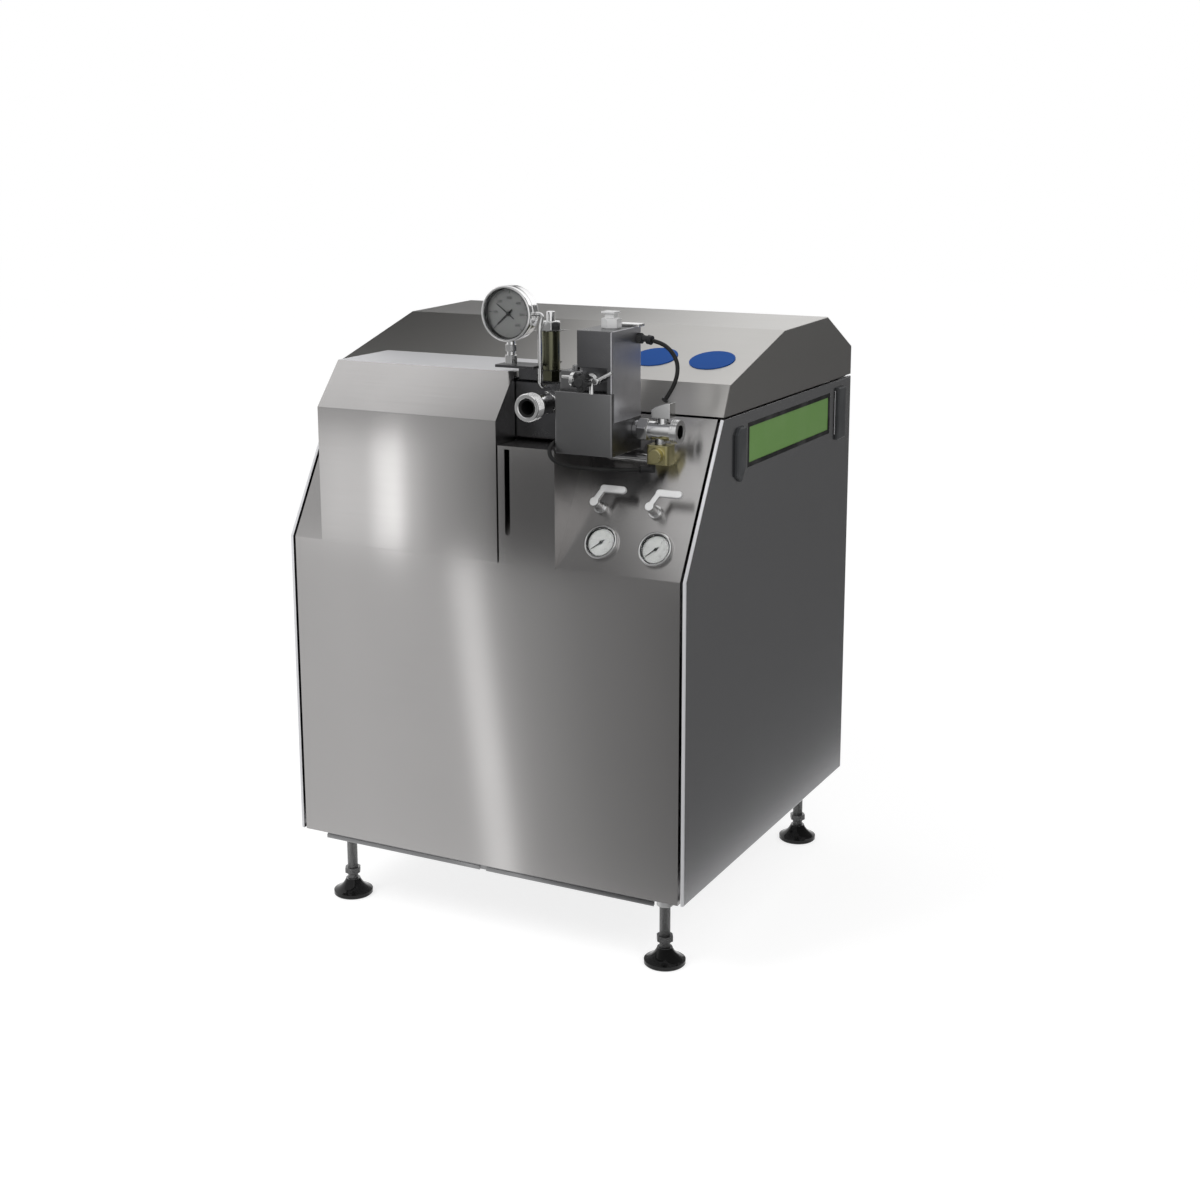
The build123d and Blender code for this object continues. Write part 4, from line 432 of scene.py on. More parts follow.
def moulded(name, colour, roughness, grain_size, bump, dust=(0.4, 0.4, 0.4), amount=0.12,
            metallic=0.0, specular=0.5):
    """Painted casting, moulded plastic or rubber."""
    material, nodes, links, shader = new_finish(name, colour, metallic, roughness, specular)
    skin = place_group(nodes, skin_group, Body=(*colour, 1.0), Dust=(*dust, 1.0),
                       Grain_Size=grain_size, Dust_Amount=amount)
    links.new(object_point(nodes, links), skin.inputs["Place"])
    rough = math_node(nodes, links, "MULTIPLY_ADD", skin.outputs["Dusty"], DUST_ROUGHNESS, roughness)
    links.new(rough, shader.inputs["Roughness"])
    links.new(skin.outputs["Color"], shader.inputs["Base Color"])
    raise_surface(nodes, links, skin.outputs["Height"], bump, SKIN_DEPTH, shader)
    return material


cast_paint = moulded("cast_paint", (0.19, 0.20, 0.21), 0.42, 350.0, 0.5, (0.3, 0.3, 0.3), 0.2)
black_plastic = moulded("black_plastic", (0.012, 0.012, 0.013), 0.32, 900.0, 0.15, specular=DULL)
black_rubber = moulded("black_rubber", (0.014, 0.014, 0.014), 0.55, 1200.0, 0.2, (0.2, 0.2, 0.2), 0.08,
                       specular=DULL)
seal_rubber = moulded("seal_rubber", (0.02, 0.02, 0.02), 0.6, 1200.0, 0.2, specular=DULL)
dark_paint = moulded("dark_paint", (0.055, 0.058, 0.062), 0.38, 700.0, 0.12)
green_plastic = moulded("green_plastic", (0.165, 0.34, 0.085), 0.28, 300.0, 0.04, (0.35, 0.5, 0.25), 0.15)
blue_plastic = moulded("blue_plastic", (0.003, 0.06, 0.27), 0.6, 500.0, 0.04, (0.1, 0.2, 0.4), 0.03,
                       specular=0.1)
dial_pale = moulded("dial_pale", (0.40, 0.40, 0.39), 0.45, 400.0, 0.03, (0.35, 0.35, 0.33), 0.25)
dial_grey = moulded("dial_grey", (0.13, 0.13, 0.128), 0.45, 400.0, 0.03, (0.3, 0.3, 0.28), 0.2)
# Black for print, which the inlet union's bore also takes as painted shade.
ink_and_shade_black = moulded("ink_and_shade_black", (0.01, 0.01, 0.01), 0.5, 900.0, 0.05, amount=0.02, specular=DULL)
# A lighter steel that paints a highlight on the cover's upward faces and on the side panels' front lips.
painted_highlight_steel = moulded("painted_highlight_steel", (0.78, 0.78, 0.80), 0.35, 300.0, 0.03, amount=0.05, metallic=0.3)
# A whitish steel that paints the glare of the chrome cap nut and lever grips.
painted_glare_steel = moulded("painted_glare_steel", (0.72, 0.72, 0.72), 0.3, 400.0, 0.03, amount=0.1, metallic=0.4)
print("mouldings ready")

# %% [markdown]
# ## Glass
#
# The gauge glasses are flat and thin. A thick glass shader in front of a dial
# bends the dial out of place and adds noise. A low index lets the light pass
# nearly straight and keeps a faint reflection, with a few wiping marks in its
# roughness.

# %% Finish for the gauge glasses
def clear_glass():
    """Thin clear glass with faint wiping marks."""
    material, nodes, links, shader = new_finish("gauge_glass", (0.97, 0.98, 0.98), 0.0, 0.03)
    set_inputs(shader, Transmission_Weight=1.0, IOR=1.12)
    marks = set_inputs(nodes.new("ShaderNodeTexNoise"), Scale=60.0)
    spread = set_inputs(nodes.new("ShaderNodeMapRange"), To_Min=0.0, To_Max=0.06)
    links.new(object_point(nodes, links), marks.inputs["Vector"])
    links.new(marks.outputs["Fac"], spread.inputs["Value"])
    links.new(spread.outputs["Result"], shader.inputs["Roughness"])
    return material


gauge_glass = clear_glass()
print("finish:", gauge_glass.name)

# %% [markdown]
# ## Feet
#
# A levelling foot is two materials in one solid: a threaded steel spindle on a
# glossy black pad. It could be cut in two, but the solid is a measured one and
# stays whole. The change is at a known height, so a step in the object's own Z
# coordinate keeps the two apart, and a wave in the same coordinate is the
# thread.

# %% Finish for the feet
PAD_TOP = 0.0335
THREAD_PITCH = 0.0025
PAD_BLACK, SPINDLE_GREY = (0.005, 0.005, 0.005), (0.20, 0.20, 0.20)


def foot_finish():
    """Black pad below, threaded steel spindle above."""
    material, nodes, links, shader = new_finish("foot_finish", PAD_BLACK, 0.0, 0.12, specular=0.3)
    parts = nodes.new("ShaderNodeSeparateXYZ")
    links.new(object_point(nodes, links), parts.inputs["Vector"])
    steel = math_node(nodes, links, "GREATER_THAN", parts.outputs["Z"], PAD_TOP)
    turns = math_node(nodes, links, "MULTIPLY", parts.outputs["Z"], 2 * math.pi / THREAD_PITCH)
    thread = math_node(nodes, links, "SINE", turns)
    height = math_node(nodes, links, "MULTIPLY", thread, steel)
    links.new(colour_mix(nodes, links, steel, PAD_BLACK, SPINDLE_GREY), shader.inputs["Base Color"])
    links.new(steel, shader.inputs["Metallic"])
    links.new(math_node(nodes, links, "MULTIPLY_ADD", steel, 0.15, 0.12), shader.inputs["Roughness"])
    raise_surface(nodes, links, height, 0.6, 0.0006, shader)
    return material


foot_black_and_steel = foot_finish()
print("finish:", foot_black_and_steel.name)

# %% [markdown]
# ## A finish for every measured solid
#
# Each solid keeps its mesh and only changes its material. That could be done
# in a line for each, but then one is soon forgotten. One table says who gets
# what, so a finish is easy to find, and a name that is missing from the table
# stops the script.

# %% Give every measured solid its finish
FINISHES = {
    "front_panel": front_steel, "plunger_cover": front_steel, "head_skirt": front_steel,
    "left_side_panel": side_steel, "right_side_panel": side_steel, "rear_panel": side_steel,
    "floor_pan": side_steel, "hood": hood_steel, "frame": frame_steel,
    "foot_front_left": foot_black_and_steel, "foot_front_right": foot_black_and_steel,
    "foot_rear_left": foot_black_and_steel, "foot_rear_right": foot_black_and_steel,
    "side_window": green_plastic, "window_seal": seal_rubber, "window_bars": dark_paint,
    "cable_gland": black_plastic, "hood_discs": blue_plastic,
    "hinge_lower_leaves": polished_steel, "hinge_upper_leaves": polished_steel,
    "pump_head": forged_steel, "valve_block": forged_steel, "actuator_block": forged_steel,
    "valve_caps": polished_steel, "plunger_glands": polished_steel,
    "plunger_1": polished_steel, "plunger_2": polished_steel, "plunger_3": polished_steel,
    "side_plates": cast_paint, "crankcase": cast_paint, "crankcase_cover": cast_paint,
    "motor": motor_aluminium, "motor_pulley": cast_paint, "driven_pulley": cast_paint,
    "drive_belts": black_rubber, "inlet_union": polished_steel, "cap_nut": painted_glare_steel,
    "actuator_fitting": black_plastic, "outlet_union": polished_steel, "brass_valve": aged_brass,
    "drain_tube": polished_steel, "bleed_valve": polished_steel, "star_knob": black_plastic,
    "bleed_lever": polished_steel, "gauge_mount": forged_steel, "main_gauge_case": polished_steel,
    "main_gauge_needle": ink_and_shade_black, "gauge_tube": polished_steel, "relief_valve": olive_steel,
    "panel_gauge_cases": polished_steel, "gauge_dials": dial_pale, "gauge_glasses": gauge_glass,
    "left_gauge_needle": ink_and_shade_black, "right_gauge_needle": ink_and_shade_black,
    "hand_valve_bodies": polished_steel, "left_hand_lever": polished_steel,
    "right_hand_lever": polished_steel, "upper_hose": black_rubber, "lower_hose": black_rubber,
    "hose_ends": black_plastic,
}
for name, node in machine.items():
    node.data.materials.clear()
    node.data.materials.append(FINISHES[name])
print("finished nodes:", len(FINISHES), "of", len(machine))

# %% [markdown]
# ## Pieces of our own
#
# Some forms are better made here than in the solids: rounded edges, threads
# and printing. Each is shaped in a bmesh, where operators work without any
# window or selection. One helper turns a finished bmesh into an object, gives
# it its materials and says which body it moves with.

# %% Helper for pieces of our own
SHARP = math.radians(35)


def new_piece(name, bm, finishes, body, replaced=(), second=None):
    """A smooth piece on its body; faces that pass the second test take the second finish."""
    for face in bm.faces:
        face.smooth = True
        if second is not None:
            face.material_index = int(second(face))
    for edge in bm.edges:
        edge.smooth = edge.calc_face_angle(0.0) < SHARP
    mesh = bpy.data.meshes.new(name)
    bm.to_mesh(mesh)
    bm.free()
    for finish in finishes:
        mesh.materials.append(finish)
    piece = bpy.data.objects.new(name, mesh)
    bpy.context.scene.collection.objects.link(piece)
    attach(piece, body)
    if replaced:
        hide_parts(*replaced)
    return piece


print("piece helper ready")

# %% [markdown]
# ## Edges that are really round
#
# Blocks, nuts and levers are handled and washed every day, so none keeps a
# knife edge. The Bevel node only fakes that in the shading, which is not
# enough for parts as large in the picture as these. So a copy of the measured
# mesh is merged, its flat triangles are joined to whole faces, and a Bevel
# modifier rounds every edge over 35 degrees. A Weighted Normal modifier keeps
# the big faces flat in the light.

# %% Round the blocks, nuts and levers
MERGE = 0.000002
FRONT, RIGHT, UP = Vector((0, -1, 0)), Vector((1, 0, 0)), Vector((0, 0, 1))


def facing(direction, least):
    """A test that a face looks along a direction."""
    return lambda face: face.normal.dot(direction) > least


def above(height):
    """A test that a face lies above a height."""
    return lambda face: face.calc_center_median().z > height


def softened(node, width, other=None, second=None):
    """A copy of a measured solid with rounded edges, standing for it."""
    source = machine[node]
    bm = bmesh.new()
    bm.from_mesh(source.data)
    bmesh.ops.transform(bm, matrix=source.matrix_world, verts=bm.verts)
    bmesh.ops.remove_doubles(bm, verts=bm.verts, dist=MERGE)
    bmesh.ops.dissolve_limit(bm, angle_limit=math.radians(0.5), verts=bm.verts, edges=bm.edges)
    finishes = [FINISHES[node]] if other is None else [FINISHES[node], other]
    piece = new_piece(node + "_round", bm, finishes, body_of(source)[0], [node], second)
    rounding = piece.modifiers.new("rounded edges", "BEVEL")
    rounding.width = width
    rounding.segments = 3
    rounding.limit_method = "ANGLE"
    rounding.angle_limit = SHARP
    rounding.use_clamp_overlap = False
    flat = piece.modifiers.new("flat faces", "WEIGHTED_NORMAL")
    flat.keep_sharp = True


STEM_FOOT, RELIEF_CAP_FOOT, FITTING_NUT_FOOT, LEVER_GRIP_FOOT = 1.1315, 1.1915, 1.2055, 0.9035
softened("pump_head", 0.0015)
# The block's front faces take the lighter steel as painted light, while its top stays dark.
softened("valve_block", 0.0012, worn_and_lit_steel, facing(FRONT, 0.7))
# The block's faces to the right take the lighter steel as painted light.
softened("actuator_block", 0.0012, lit_face_steel, facing(RIGHT, 0.7))
# The cover's upward faces take the lighter steel as a painted highlight.
softened("plunger_cover", 0.0006, painted_highlight_steel, facing(UP, 0.9))
softened("gauge_mount", 0.0006, polished_steel, above(STEM_FOOT))
softened("relief_valve", 0.0007, bright_steel, above(RELIEF_CAP_FOOT))
# The cap nut's whitish steel is painted glare.
softened("cap_nut", 0.0008)
softened("actuator_fitting", 0.0005, bright_steel, above(FITTING_NUT_FOOT))
softened("outlet_union", 0.0006)
softened("brass_valve", 0.0012)
softened("bleed_lever", 0.0007)
softened("star_knob", 0.0016)
softened("hand_valve_bodies", 0.0007)
# The lever grips take the whitish steel as painted glare.
# The side panels' faces toward the front take the lighter steel as a painted highlight on their lips.
for side in ("left", "right"):
    softened(side + "_hand_lever", 0.0016, painted_glare_steel, above(LEVER_GRIP_FOOT))
    softened(side + "_side_panel", 0.0006, painted_highlight_steel, facing(FRONT, 0.5))

# %% [markdown]
# ## Turned parts
#
# Gauge cases and pipe unions come off a lathe. A cylinder with extra loops
# could be scaled into shape, but a lathe part is one profile spun round its
# axis, and that is what the spin operator does. A profile here is a list of
# radius and height in millimetres, with small helpers for a round corner and
# for the dairy union's thread, a wave that is easy to scrub clean.

# %% Helpers for turning
def turned(bm, profile, place):
    """Spins (radius, height) points in millimetres round Z and puts the result in place."""
    old = set(bm.verts)
    points = [bm.verts.new((r / 1000, 0.0, h / 1000)) for r, h in profile]
    edges = [bm.edges.new(pair) for pair in zip(points, points[1:])]
    bmesh.ops.spin(bm, geom=points + edges, cent=(0, 0, 0), axis=(0, 0, 1), angle=2 * math.pi,
                   steps=72, use_merge=True)
    bmesh.ops.remove_doubles(bm, verts=[v for v in bm.verts if v not in old], dist=MERGE)
    bmesh.ops.recalc_face_normals(bm, faces=[f for f in bm.faces if f.verts[0] not in old])
    bmesh.ops.transform(bm, matrix=place, verts=[v for v in bm.verts if v not in old])


def arc(centre_r, centre_h, radius, start, end, steps=6):
    """Points of a rounded corner in a profile."""
    turns = [math.radians(start + (end - start) * i / steps) for i in range(steps + 1)]
    return [(centre_r + radius * math.cos(t), centre_h + radius * math.sin(t)) for t in turns]


def wave(low, high, crest, depth, pitch=4.2, steps=8):
    """The round thread's profile between two heights."""
    count = int((high - low) / pitch * steps)
    return [(crest - depth / 2 + depth / 2 * math.cos(2 * math.pi * i / steps), low + i * pitch / steps)
            for i in range(count + 1)]


print("a round corner has", len(arc(0, 0, 1, 0, 90)), "points")

# %% [markdown]
# ## Gauge cases
#
# A gauge has a pressed steel case, a bright bezel with a rounded lip, and a
# black seal inside it, which also stands for the shade under the bezel. Its
# place could be typed in, but the needle's joint already says where the gauge's
# axis is and how it leans, so the front plane is worked out from that. The
# joints of the two small gauges lie 4 mm behind their front plane, and the
# large gauge's lies in it.

# %% Turn the gauge cases and seals
JOINT_DEPTH = 0.004


def gauge_place(joint, depth=0.0):
    """A gauge's front plane, a depth in front of its joint: X right, Y up, Z to the reader."""
    inward = Vector(joints[joint]["axis"])
    spot = Vector(joints[joint]["pos_m"]) - depth * inward
    return Matrix.Translation(spot) @ Matrix.Rotation(math.atan2(inward.y, -inward.z), 4, "X")


MAIN_GAUGE = gauge_place("main_gauge_turn")
SMALL_GAUGES = [gauge_place(side + "_gauge_turn", JOINT_DEPTH) for side in ("left", "right")]

bm = bmesh.new()
turned(bm, [(0, -38), (44.6, -38)] + arc(44.6, -32, 6, -90, 0) + [(50.6, -15.0), (51.1, -15.0), (51.5, -14.4)]
       + [(51.5, -3.2)] + arc(48.3, -3.2, 3.2, 0, 90) + [(47.2, -0.5), (46.9, -1.6), (46.5, -2.0)]
       + [(46.5, -14), (2, -14), (2, -16), (0, -16)], MAIN_GAUGE)
socket = Matrix.Translation(MAIN_GAUGE.translation + Vector((0.0, 0.020, -0.053)))
bmesh.ops.create_cone(bm, cap_ends=True, segments=32, radius1=0.008, radius2=0.008, depth=0.009,
                      matrix=socket)
new_piece("main_gauge_bezel", bm, [bright_steel], "cabinet", ["main_gauge_case"])

bm = bmesh.new()
for place in SMALL_GAUGES:
    turned(bm, [(0, -38.7), (28, -38.7), (28, -8.7), (32.0, -8.7), (32.5, -8.2), (32.5, -2.6)]
           + arc(29.9, -2.6, 2.6, 0, 90) + [(28.9, -0.5), (28.5, -1.0), (28.5, -7.2)]
           + [(2, -7.2), (2, -9.2), (0, -9.2)], place)
new_piece("panel_gauge_bezels", bm, [bright_steel], "cabinet", ["panel_gauge_cases"])

# The black rings are seals and also painted shade inside the bezels.
bm = bmesh.new()
turned(bm, [(46.3, -12.9), (46.3, -2.6), (44.9, -2.6), (44.4, -12.9), (46.3, -12.9)], MAIN_GAUGE)
for place in SMALL_GAUGES:
    turned(bm, [(28.3, -6.1), (28.3, -2.6), (26.4, -2.6), (25.4, -6.1), (28.3, -6.1)], place)
new_piece("gauge_seals_and_rim_shade", bm, [seal_rubber], "cabinet")
print("large gauge at", [round(v, 3) for v in MAIN_GAUGE.translation])

# %% [markdown]
# ## Unions
#
# Milk comes in through the union at the front and leaves through the one on
# the right. Both end in a coarse round thread with a pitch of 4.2 mm. A screw
# modifier would make a true helix with two loose ends. From a step away rings
# look the same and close cleanly, so the thread is part of the spun profile.
# The threads stand where the record's mounts say.

# %% Turn the two unions
UNION_NUT_RADIUS = 0.02194

# Faces whose centres lie nearer to the axis than this, those of the bore and its mouth, take black as painted
# shade.
SHADED_BORE_RADIUS = 0.017

inlet = Vector(mounts["inlet_thread"]["pos_m"])
inlet.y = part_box("pump_head")[0].y
inlet_place = Matrix.Translation(inlet) @ Matrix.Rotation(math.radians(90), 4, "X")
bm = bmesh.new()
turned(bm, [(13, 0), (19, 0), (19, 54)] + arc(22, 54, 3, 180, 140, 3) + [(24.4, 68)] + wave(69, 88.5, 26, 1.8)
       + [(24.0, 90), (18.5, 90), (17.6, 88.6), (13.6, 86.5), (13, 86), (13, 0)], inlet_place)
nut = bmesh.ops.create_cone(bm, cap_ends=True, segments=6, radius1=UNION_NUT_RADIUS, radius2=UNION_NUT_RADIUS,
                            depth=0.016, matrix=inlet_place @ Matrix.Translation((0, 0, 0.008)))
nut_edges = list({edge for v in nut["verts"] for edge in v.link_edges})
bmesh.ops.bevel(bm, geom=nut_edges, offset=0.0012, segments=3, profile=0.5, affect="EDGES", material=-1)


def in_the_bore(face):
    """A test that a face's centre is close to the union's axis, as it is in the bore."""
    return (face.calc_center_median() - inlet).cross(FRONT).length < SHADED_BORE_RADIUS


# The bore's faces take black as painted shade.
new_piece("inlet_union_turned", bm, [bright_steel, ink_and_shade_black], "cabinet", ["inlet_union"],
          in_the_bore)

outlet = mounts["outlet_thread"]
thread_start = Vector(outlet["pos_m"]) - Vector(outlet["axis"]) * outlet["dims"]["length_mm"] / 2000
outlet_place = Matrix.Translation(thread_start) @ Matrix.Rotation(math.radians(90), 4, "Y")
bm = bmesh.new()
turned(bm, [(21.4, 0.2), (21.9, 0.4)] + wave(0.8, 13.0, 22.6, 1.4) + [(21.4, 13.8), (21.4, 0.2)],
       outlet_place)
new_piece("outlet_thread", bm, [bright_steel], "cabinet")
print("inlet at", [round(v, 3) for v in inlet], "outlet at", [round(v, 3) for v in thread_start])

# %% [markdown]
# ## Sill strips
#
# The photograph shows two thin bars under the front panel's lower edge, with a
# joint between them and a dark line above them. They could be painted into
# the panel's finish, but real bars keep their edges and their gap from every
# side. They stand in the sheet's plane. A rubber strip behind holds them to
# the sheet's back, and its flat steel front lies in the shade of the gap.

# %% Add the sill strips
SILL_EDGE = 0.0005

# Only faces further back than this from the rubber strip's front are rubber.
STEEL_FRONT = 0.00001


def flat_bar(bm, xs, ys, zs):
    """A box between two places on each axis, its edges softened."""
    middle = Matrix.Translation(((xs[0] + xs[1]) / 2, (ys[0] + ys[1]) / 2, (zs[0] + zs[1]) / 2))
    size = Matrix.Diagonal((xs[1] - xs[0], ys[1] - ys[0], zs[1] - zs[0], 1.0))
    made = bmesh.ops.create_cube(bm, size=1.0, matrix=middle @ size)
    edges = list({edge for v in made["verts"] for edge in v.link_edges})
    bmesh.ops.bevel(bm, geom=edges, offset=SILL_EDGE, segments=3, profile=0.5, affect="EDGES", material=-1)


panel_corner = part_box("front_panel")[0]
sill_y, panel_edge = panel_corner.y + 0.0022, panel_corner.z
bm = bmesh.new()
for left, right in ((-0.367, -0.006), (0.008, 0.369)):
    flat_bar(bm, (left, right), (sill_y - 0.0019, sill_y - 0.0001), (panel_edge - 0.011, panel_edge - 0.0032))
flat_bar(bm, (-0.3665, 0.3685), (sill_y, sill_y + 0.003), (panel_edge - 0.0094, panel_edge + 0.013))
new_piece("sill_strips", bm, [worn_and_lit_steel, seal_rubber], "cabinet",
          second=lambda face: face.calc_center_median().y > sill_y + STEEL_FRONT)
print("sill strips under the panel's edge at", round(panel_edge, 3))

# %% [markdown]
# ## Dials
#
# A dial is printed: short strokes over 270 degrees, a longer one at each
# number, and upright numbers inside them. An image would do it in one step,
# but it blurs close up. So the strokes are thin boxes turned into place in a
# loop, and the numbers are text, made into a mesh first. The large gauge also
# has a thin set hand, which marks the pressure that is wanted.

# %% Helpers for printing
FIRST_STROKE, SWEEP = 222.0, 270.0
INK = 0.00012

# A stroke's length and width, and the ring of numbers, as shares of the dial's radius.
LONG_STROKE, SHORT_STROKE, NUMBER_RING = (0.16, 0.028), (0.09, 0.014), 0.66


def letter_mesh(words, size):
    """Flat lettering as a mesh, centred on its origin."""
    curve = bpy.data.curves.new("lettering", "FONT")
    curve.body = words
    curve.size = size
    curve.extrude = 0.00005
    curve.resolution_u = 3
    curve.align_x = "CENTER"
    curve.align_y = "CENTER"
    holder = bpy.data.objects.new("lettering", curve)
    bpy.context.scene.collection.objects.link(holder)
    mesh = bpy.data.meshes.new_from_object(holder.evaluated_get(bpy.context.evaluated_depsgraph_get()))
    bpy.data.objects.remove(holder)
    return mesh


def stroke(bm, place, angle, middle, height, length, width, thick=INK):
    """One thin box on a dial, at an angle from its right."""
    turn = Matrix.Rotation(math.radians(angle), 4, "Z") @ Matrix.Translation((middle, 0.0, height))
    bmesh.ops.create_cube(bm, size=1.0, matrix=place @ turn @ Matrix.Diagonal((length, width, thick, 1.0)))


def print_dial(bm, place, radius, height, numbers, strokes, size):
    """Strokes and numbers over the sweep, clockwise from the lower left."""
    every = strokes // (len(numbers) - 1)
    for i in range(strokes + 1):
        length, width = LONG_STROKE if i % every == 0 else SHORT_STROKE
        angle = FIRST_STROKE - SWEEP * i / strokes
        stroke(bm, place, angle, radius * (1 - length / 2), height, radius * length, radius * width)
    for i, number in enumerate(numbers):
        angle = math.radians(FIRST_STROKE - SWEEP * i / (len(numbers) - 1))
        ring = NUMBER_RING * radius
        spot = (ring * math.cos(angle), ring * math.sin(angle), height)
        first = len(bm.verts)
        bm.from_mesh(letter_mesh(str(number), size))
        bm.verts.ensure_lookup_table()
        bmesh.ops.transform(bm, matrix=place @ Matrix.Translation(spot), verts=bm.verts[first:])


print("printing helpers ready")

# %% Print the dials
bm = bmesh.new()
turned(bm, [(1.85, -14), (46.3, -14), (46.3, -13), (1.85, -13), (1.85, -14)], MAIN_GAUGE)
main_faces = set(bm.faces)
for place in SMALL_GAUGES:
    turned(bm, [(1.85, -7.2), (28.3, -7.2), (28.3, -6.2), (1.85, -6.2), (1.85, -7.2)], place)
new_piece("dial_faces", bm, [dial_grey, dial_pale], "cabinet", ["gauge_dials"],
          lambda face: face not in main_faces)

bm = bmesh.new()
print_dial(bm, MAIN_GAUGE, 0.043, -0.0129, range(0, 601, 100), 60, 0.0075)
for place in SMALL_GAUGES:
    print_dial(bm, place, 0.0245, -0.0061, range(0, 11, 2), 50, 0.0052)
marks = new_piece("dial_marks", bm, [ink_and_shade_black], "cabinet")
print("faces in the printing:", len(marks.data.polygons))

# %% Add the set hand
SET_HAND_ANGLE = 143.5
SET_HAND_HEIGHT = -0.0096

bm = bmesh.new()
stroke(bm, MAIN_GAUGE, SET_HAND_ANGLE, 0.0068, SET_HAND_HEIGHT, 0.0450, 0.0019, 0.0003)
bmesh.ops.create_cone(bm, cap_ends=True, segments=24, radius1=0.0022, radius2=0.0022, depth=0.001,
                      matrix=MAIN_GAUGE @ Matrix.Translation((0, 0, SET_HAND_HEIGHT)))
new_piece("set_hand", bm, [ink_and_shade_black], "cabinet")
print("set hand at", SET_HAND_ANGLE, "degrees")

# %% [markdown]
# ## Two rubber hoses
#
# A thin hose leaves the black fitting high on the tall block, leans out to the
# right and drops behind the outlet. A second one leaves the front of the block
# low down, turns round its corner and runs back to the brass valve. A chain of
# short tubes would show its joints, and a hose is one smooth line. So each is a
# NURBS curve with a round section, which a few listed points pull into
# place. Order three keeps its bends natural.

# %% Lay the hoses
HOSE_RADIUS = 0.0038
UPPER_HOSE = [(0.312, -0.317, 1.182), (0.328, -0.318, 1.179), (0.344, -0.320, 1.172), (0.357, -0.322, 1.160),
              (0.365, -0.323, 1.145), (0.366, -0.324, 1.128), (0.362, -0.325, 1.111), (0.354, -0.325, 1.095),
              (0.344, -0.325, 1.080)]
LOWER_HOSE = [(0.161, -0.368, 1.003), (0.161, -0.386, 1.003), (0.161, -0.404, 1.001), (0.161, -0.420, 0.996),
              (0.163, -0.433, 0.988), (0.170, -0.441, 0.978), (0.182, -0.442, 0.970), (0.197, -0.436, 0.964),
              (0.214, -0.425, 0.960), (0.233, -0.411, 0.957), (0.253, -0.396, 0.955), (0.273, -0.380, 0.953),
              (0.291, -0.365, 0.952), (0.306, -0.353, 0.952)]


def lay_hose(name, points):
    """A round rubber hose on one smooth line, which moves with the cabinet."""
    curve = bpy.data.curves.new(name, "CURVE")
    curve.dimensions = "3D"
    curve.bevel_depth = HOSE_RADIUS
    curve.bevel_resolution = 6
    curve.resolution_u = 10
    curve.use_fill_caps = True
    spline = curve.splines.new("NURBS")
    spline.points.add(len(points) - 1)
    for point, spot in zip(spline.points, points):
        point.co = (*spot, 1.0)
    spline.order_u = 3
    spline.use_endpoint_u = True
    hose = bpy.data.objects.new(name, curve)
    bpy.context.scene.collection.objects.link(hose)
    curve.materials.append(black_rubber)
    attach(hose, "cabinet")
    return hose


upper = lay_hose("upper_hose_line", UPPER_HOSE)
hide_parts("upper_hose")
lower = lay_hose("lower_hose_line", LOWER_HOSE)
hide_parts("lower_hose")
print("hoses laid through", len(UPPER_HOSE), "and", len(LOWER_HOSE), "points")

# %% [markdown]
# ## The studio
#
# The photograph is a cut-out on white, so the floor and the space around it
# are white too. Strong lamps would make them white and bleach the machine as
# well. Instead the world is white for the camera and for reflections, and
# softer for the light that reaches the machine.

# %% White world
SKY_LIGHT, SKY_SEEN = 0.62, 1.0


def seen_ray(nodes, links):
    """1 for camera, glossy and transmission rays."""
    path = nodes.new("ShaderNodeLightPath")
    first = math_node(nodes, links, "MAXIMUM", path.outputs["Is Camera Ray"], path.outputs["Is Glossy Ray"])
    return math_node(nodes, links, "MAXIMUM", first, path.outputs["Is Transmission Ray"])


world = bpy.data.worlds.new("white_studio")
bpy.context.scene.world = world
world.use_nodes = True
nodes, links = world.node_tree.nodes, world.node_tree.links
nodes.clear()
world_mix = nodes.new("ShaderNodeMixShader")
links.new(seen_ray(nodes, links), world_mix.inputs["Fac"])
for number, strength in ((1, SKY_LIGHT), (2, SKY_SEEN)):
    sky = set_inputs(nodes.new("ShaderNodeBackground"), Color=(1.0, 1.0, 1.0, 1.0), Strength=strength)
    links.new(sky.outputs["Background"], world_mix.inputs[number])
links.new(world_mix.outputs["Shader"], nodes.new("ShaderNodeOutputWorld").inputs["Surface"])
bpy.context.scene.view_settings.view_transform = "Standard"
print("world:", world.name, "light", SKY_LIGHT, "seen", SKY_SEEN)

# %% [markdown]
# ## Floor and lamps
#
# A studio floor is a sheet of white paper. A floor that only glows would take
# no shadow, and one that only reflects would turn grey. This one does both: it
# glows for the camera and still takes a faint shadow, which keeps the feet on
# the ground. Two soft boxes give that shadow and shape the dull parts. Steel
# doesn't mirror them, because the cards of the next step are there for that.

# %% Studio helpers: sheets and lamps
LAMP_AIM = Vector((0.0, 0.0, 0.8))


def studio_sheet(name, width, height, place):
    """A flat sheet made with a grid, placed in its own mesh."""
    mesh = bpy.data.meshes.new(name)
    bm = bmesh.new()
    bmesh.ops.create_grid(bm, x_segments=1, y_segments=1, size=0.5)
    bmesh.ops.transform(bm, matrix=place @ Matrix.Diagonal((width, height, 1.0, 1.0)), verts=bm.verts)
    bm.to_mesh(mesh)
    bm.free()
    sheet = bpy.data.objects.new(name, mesh)
    bpy.context.scene.collection.objects.link(sheet)
    return sheet


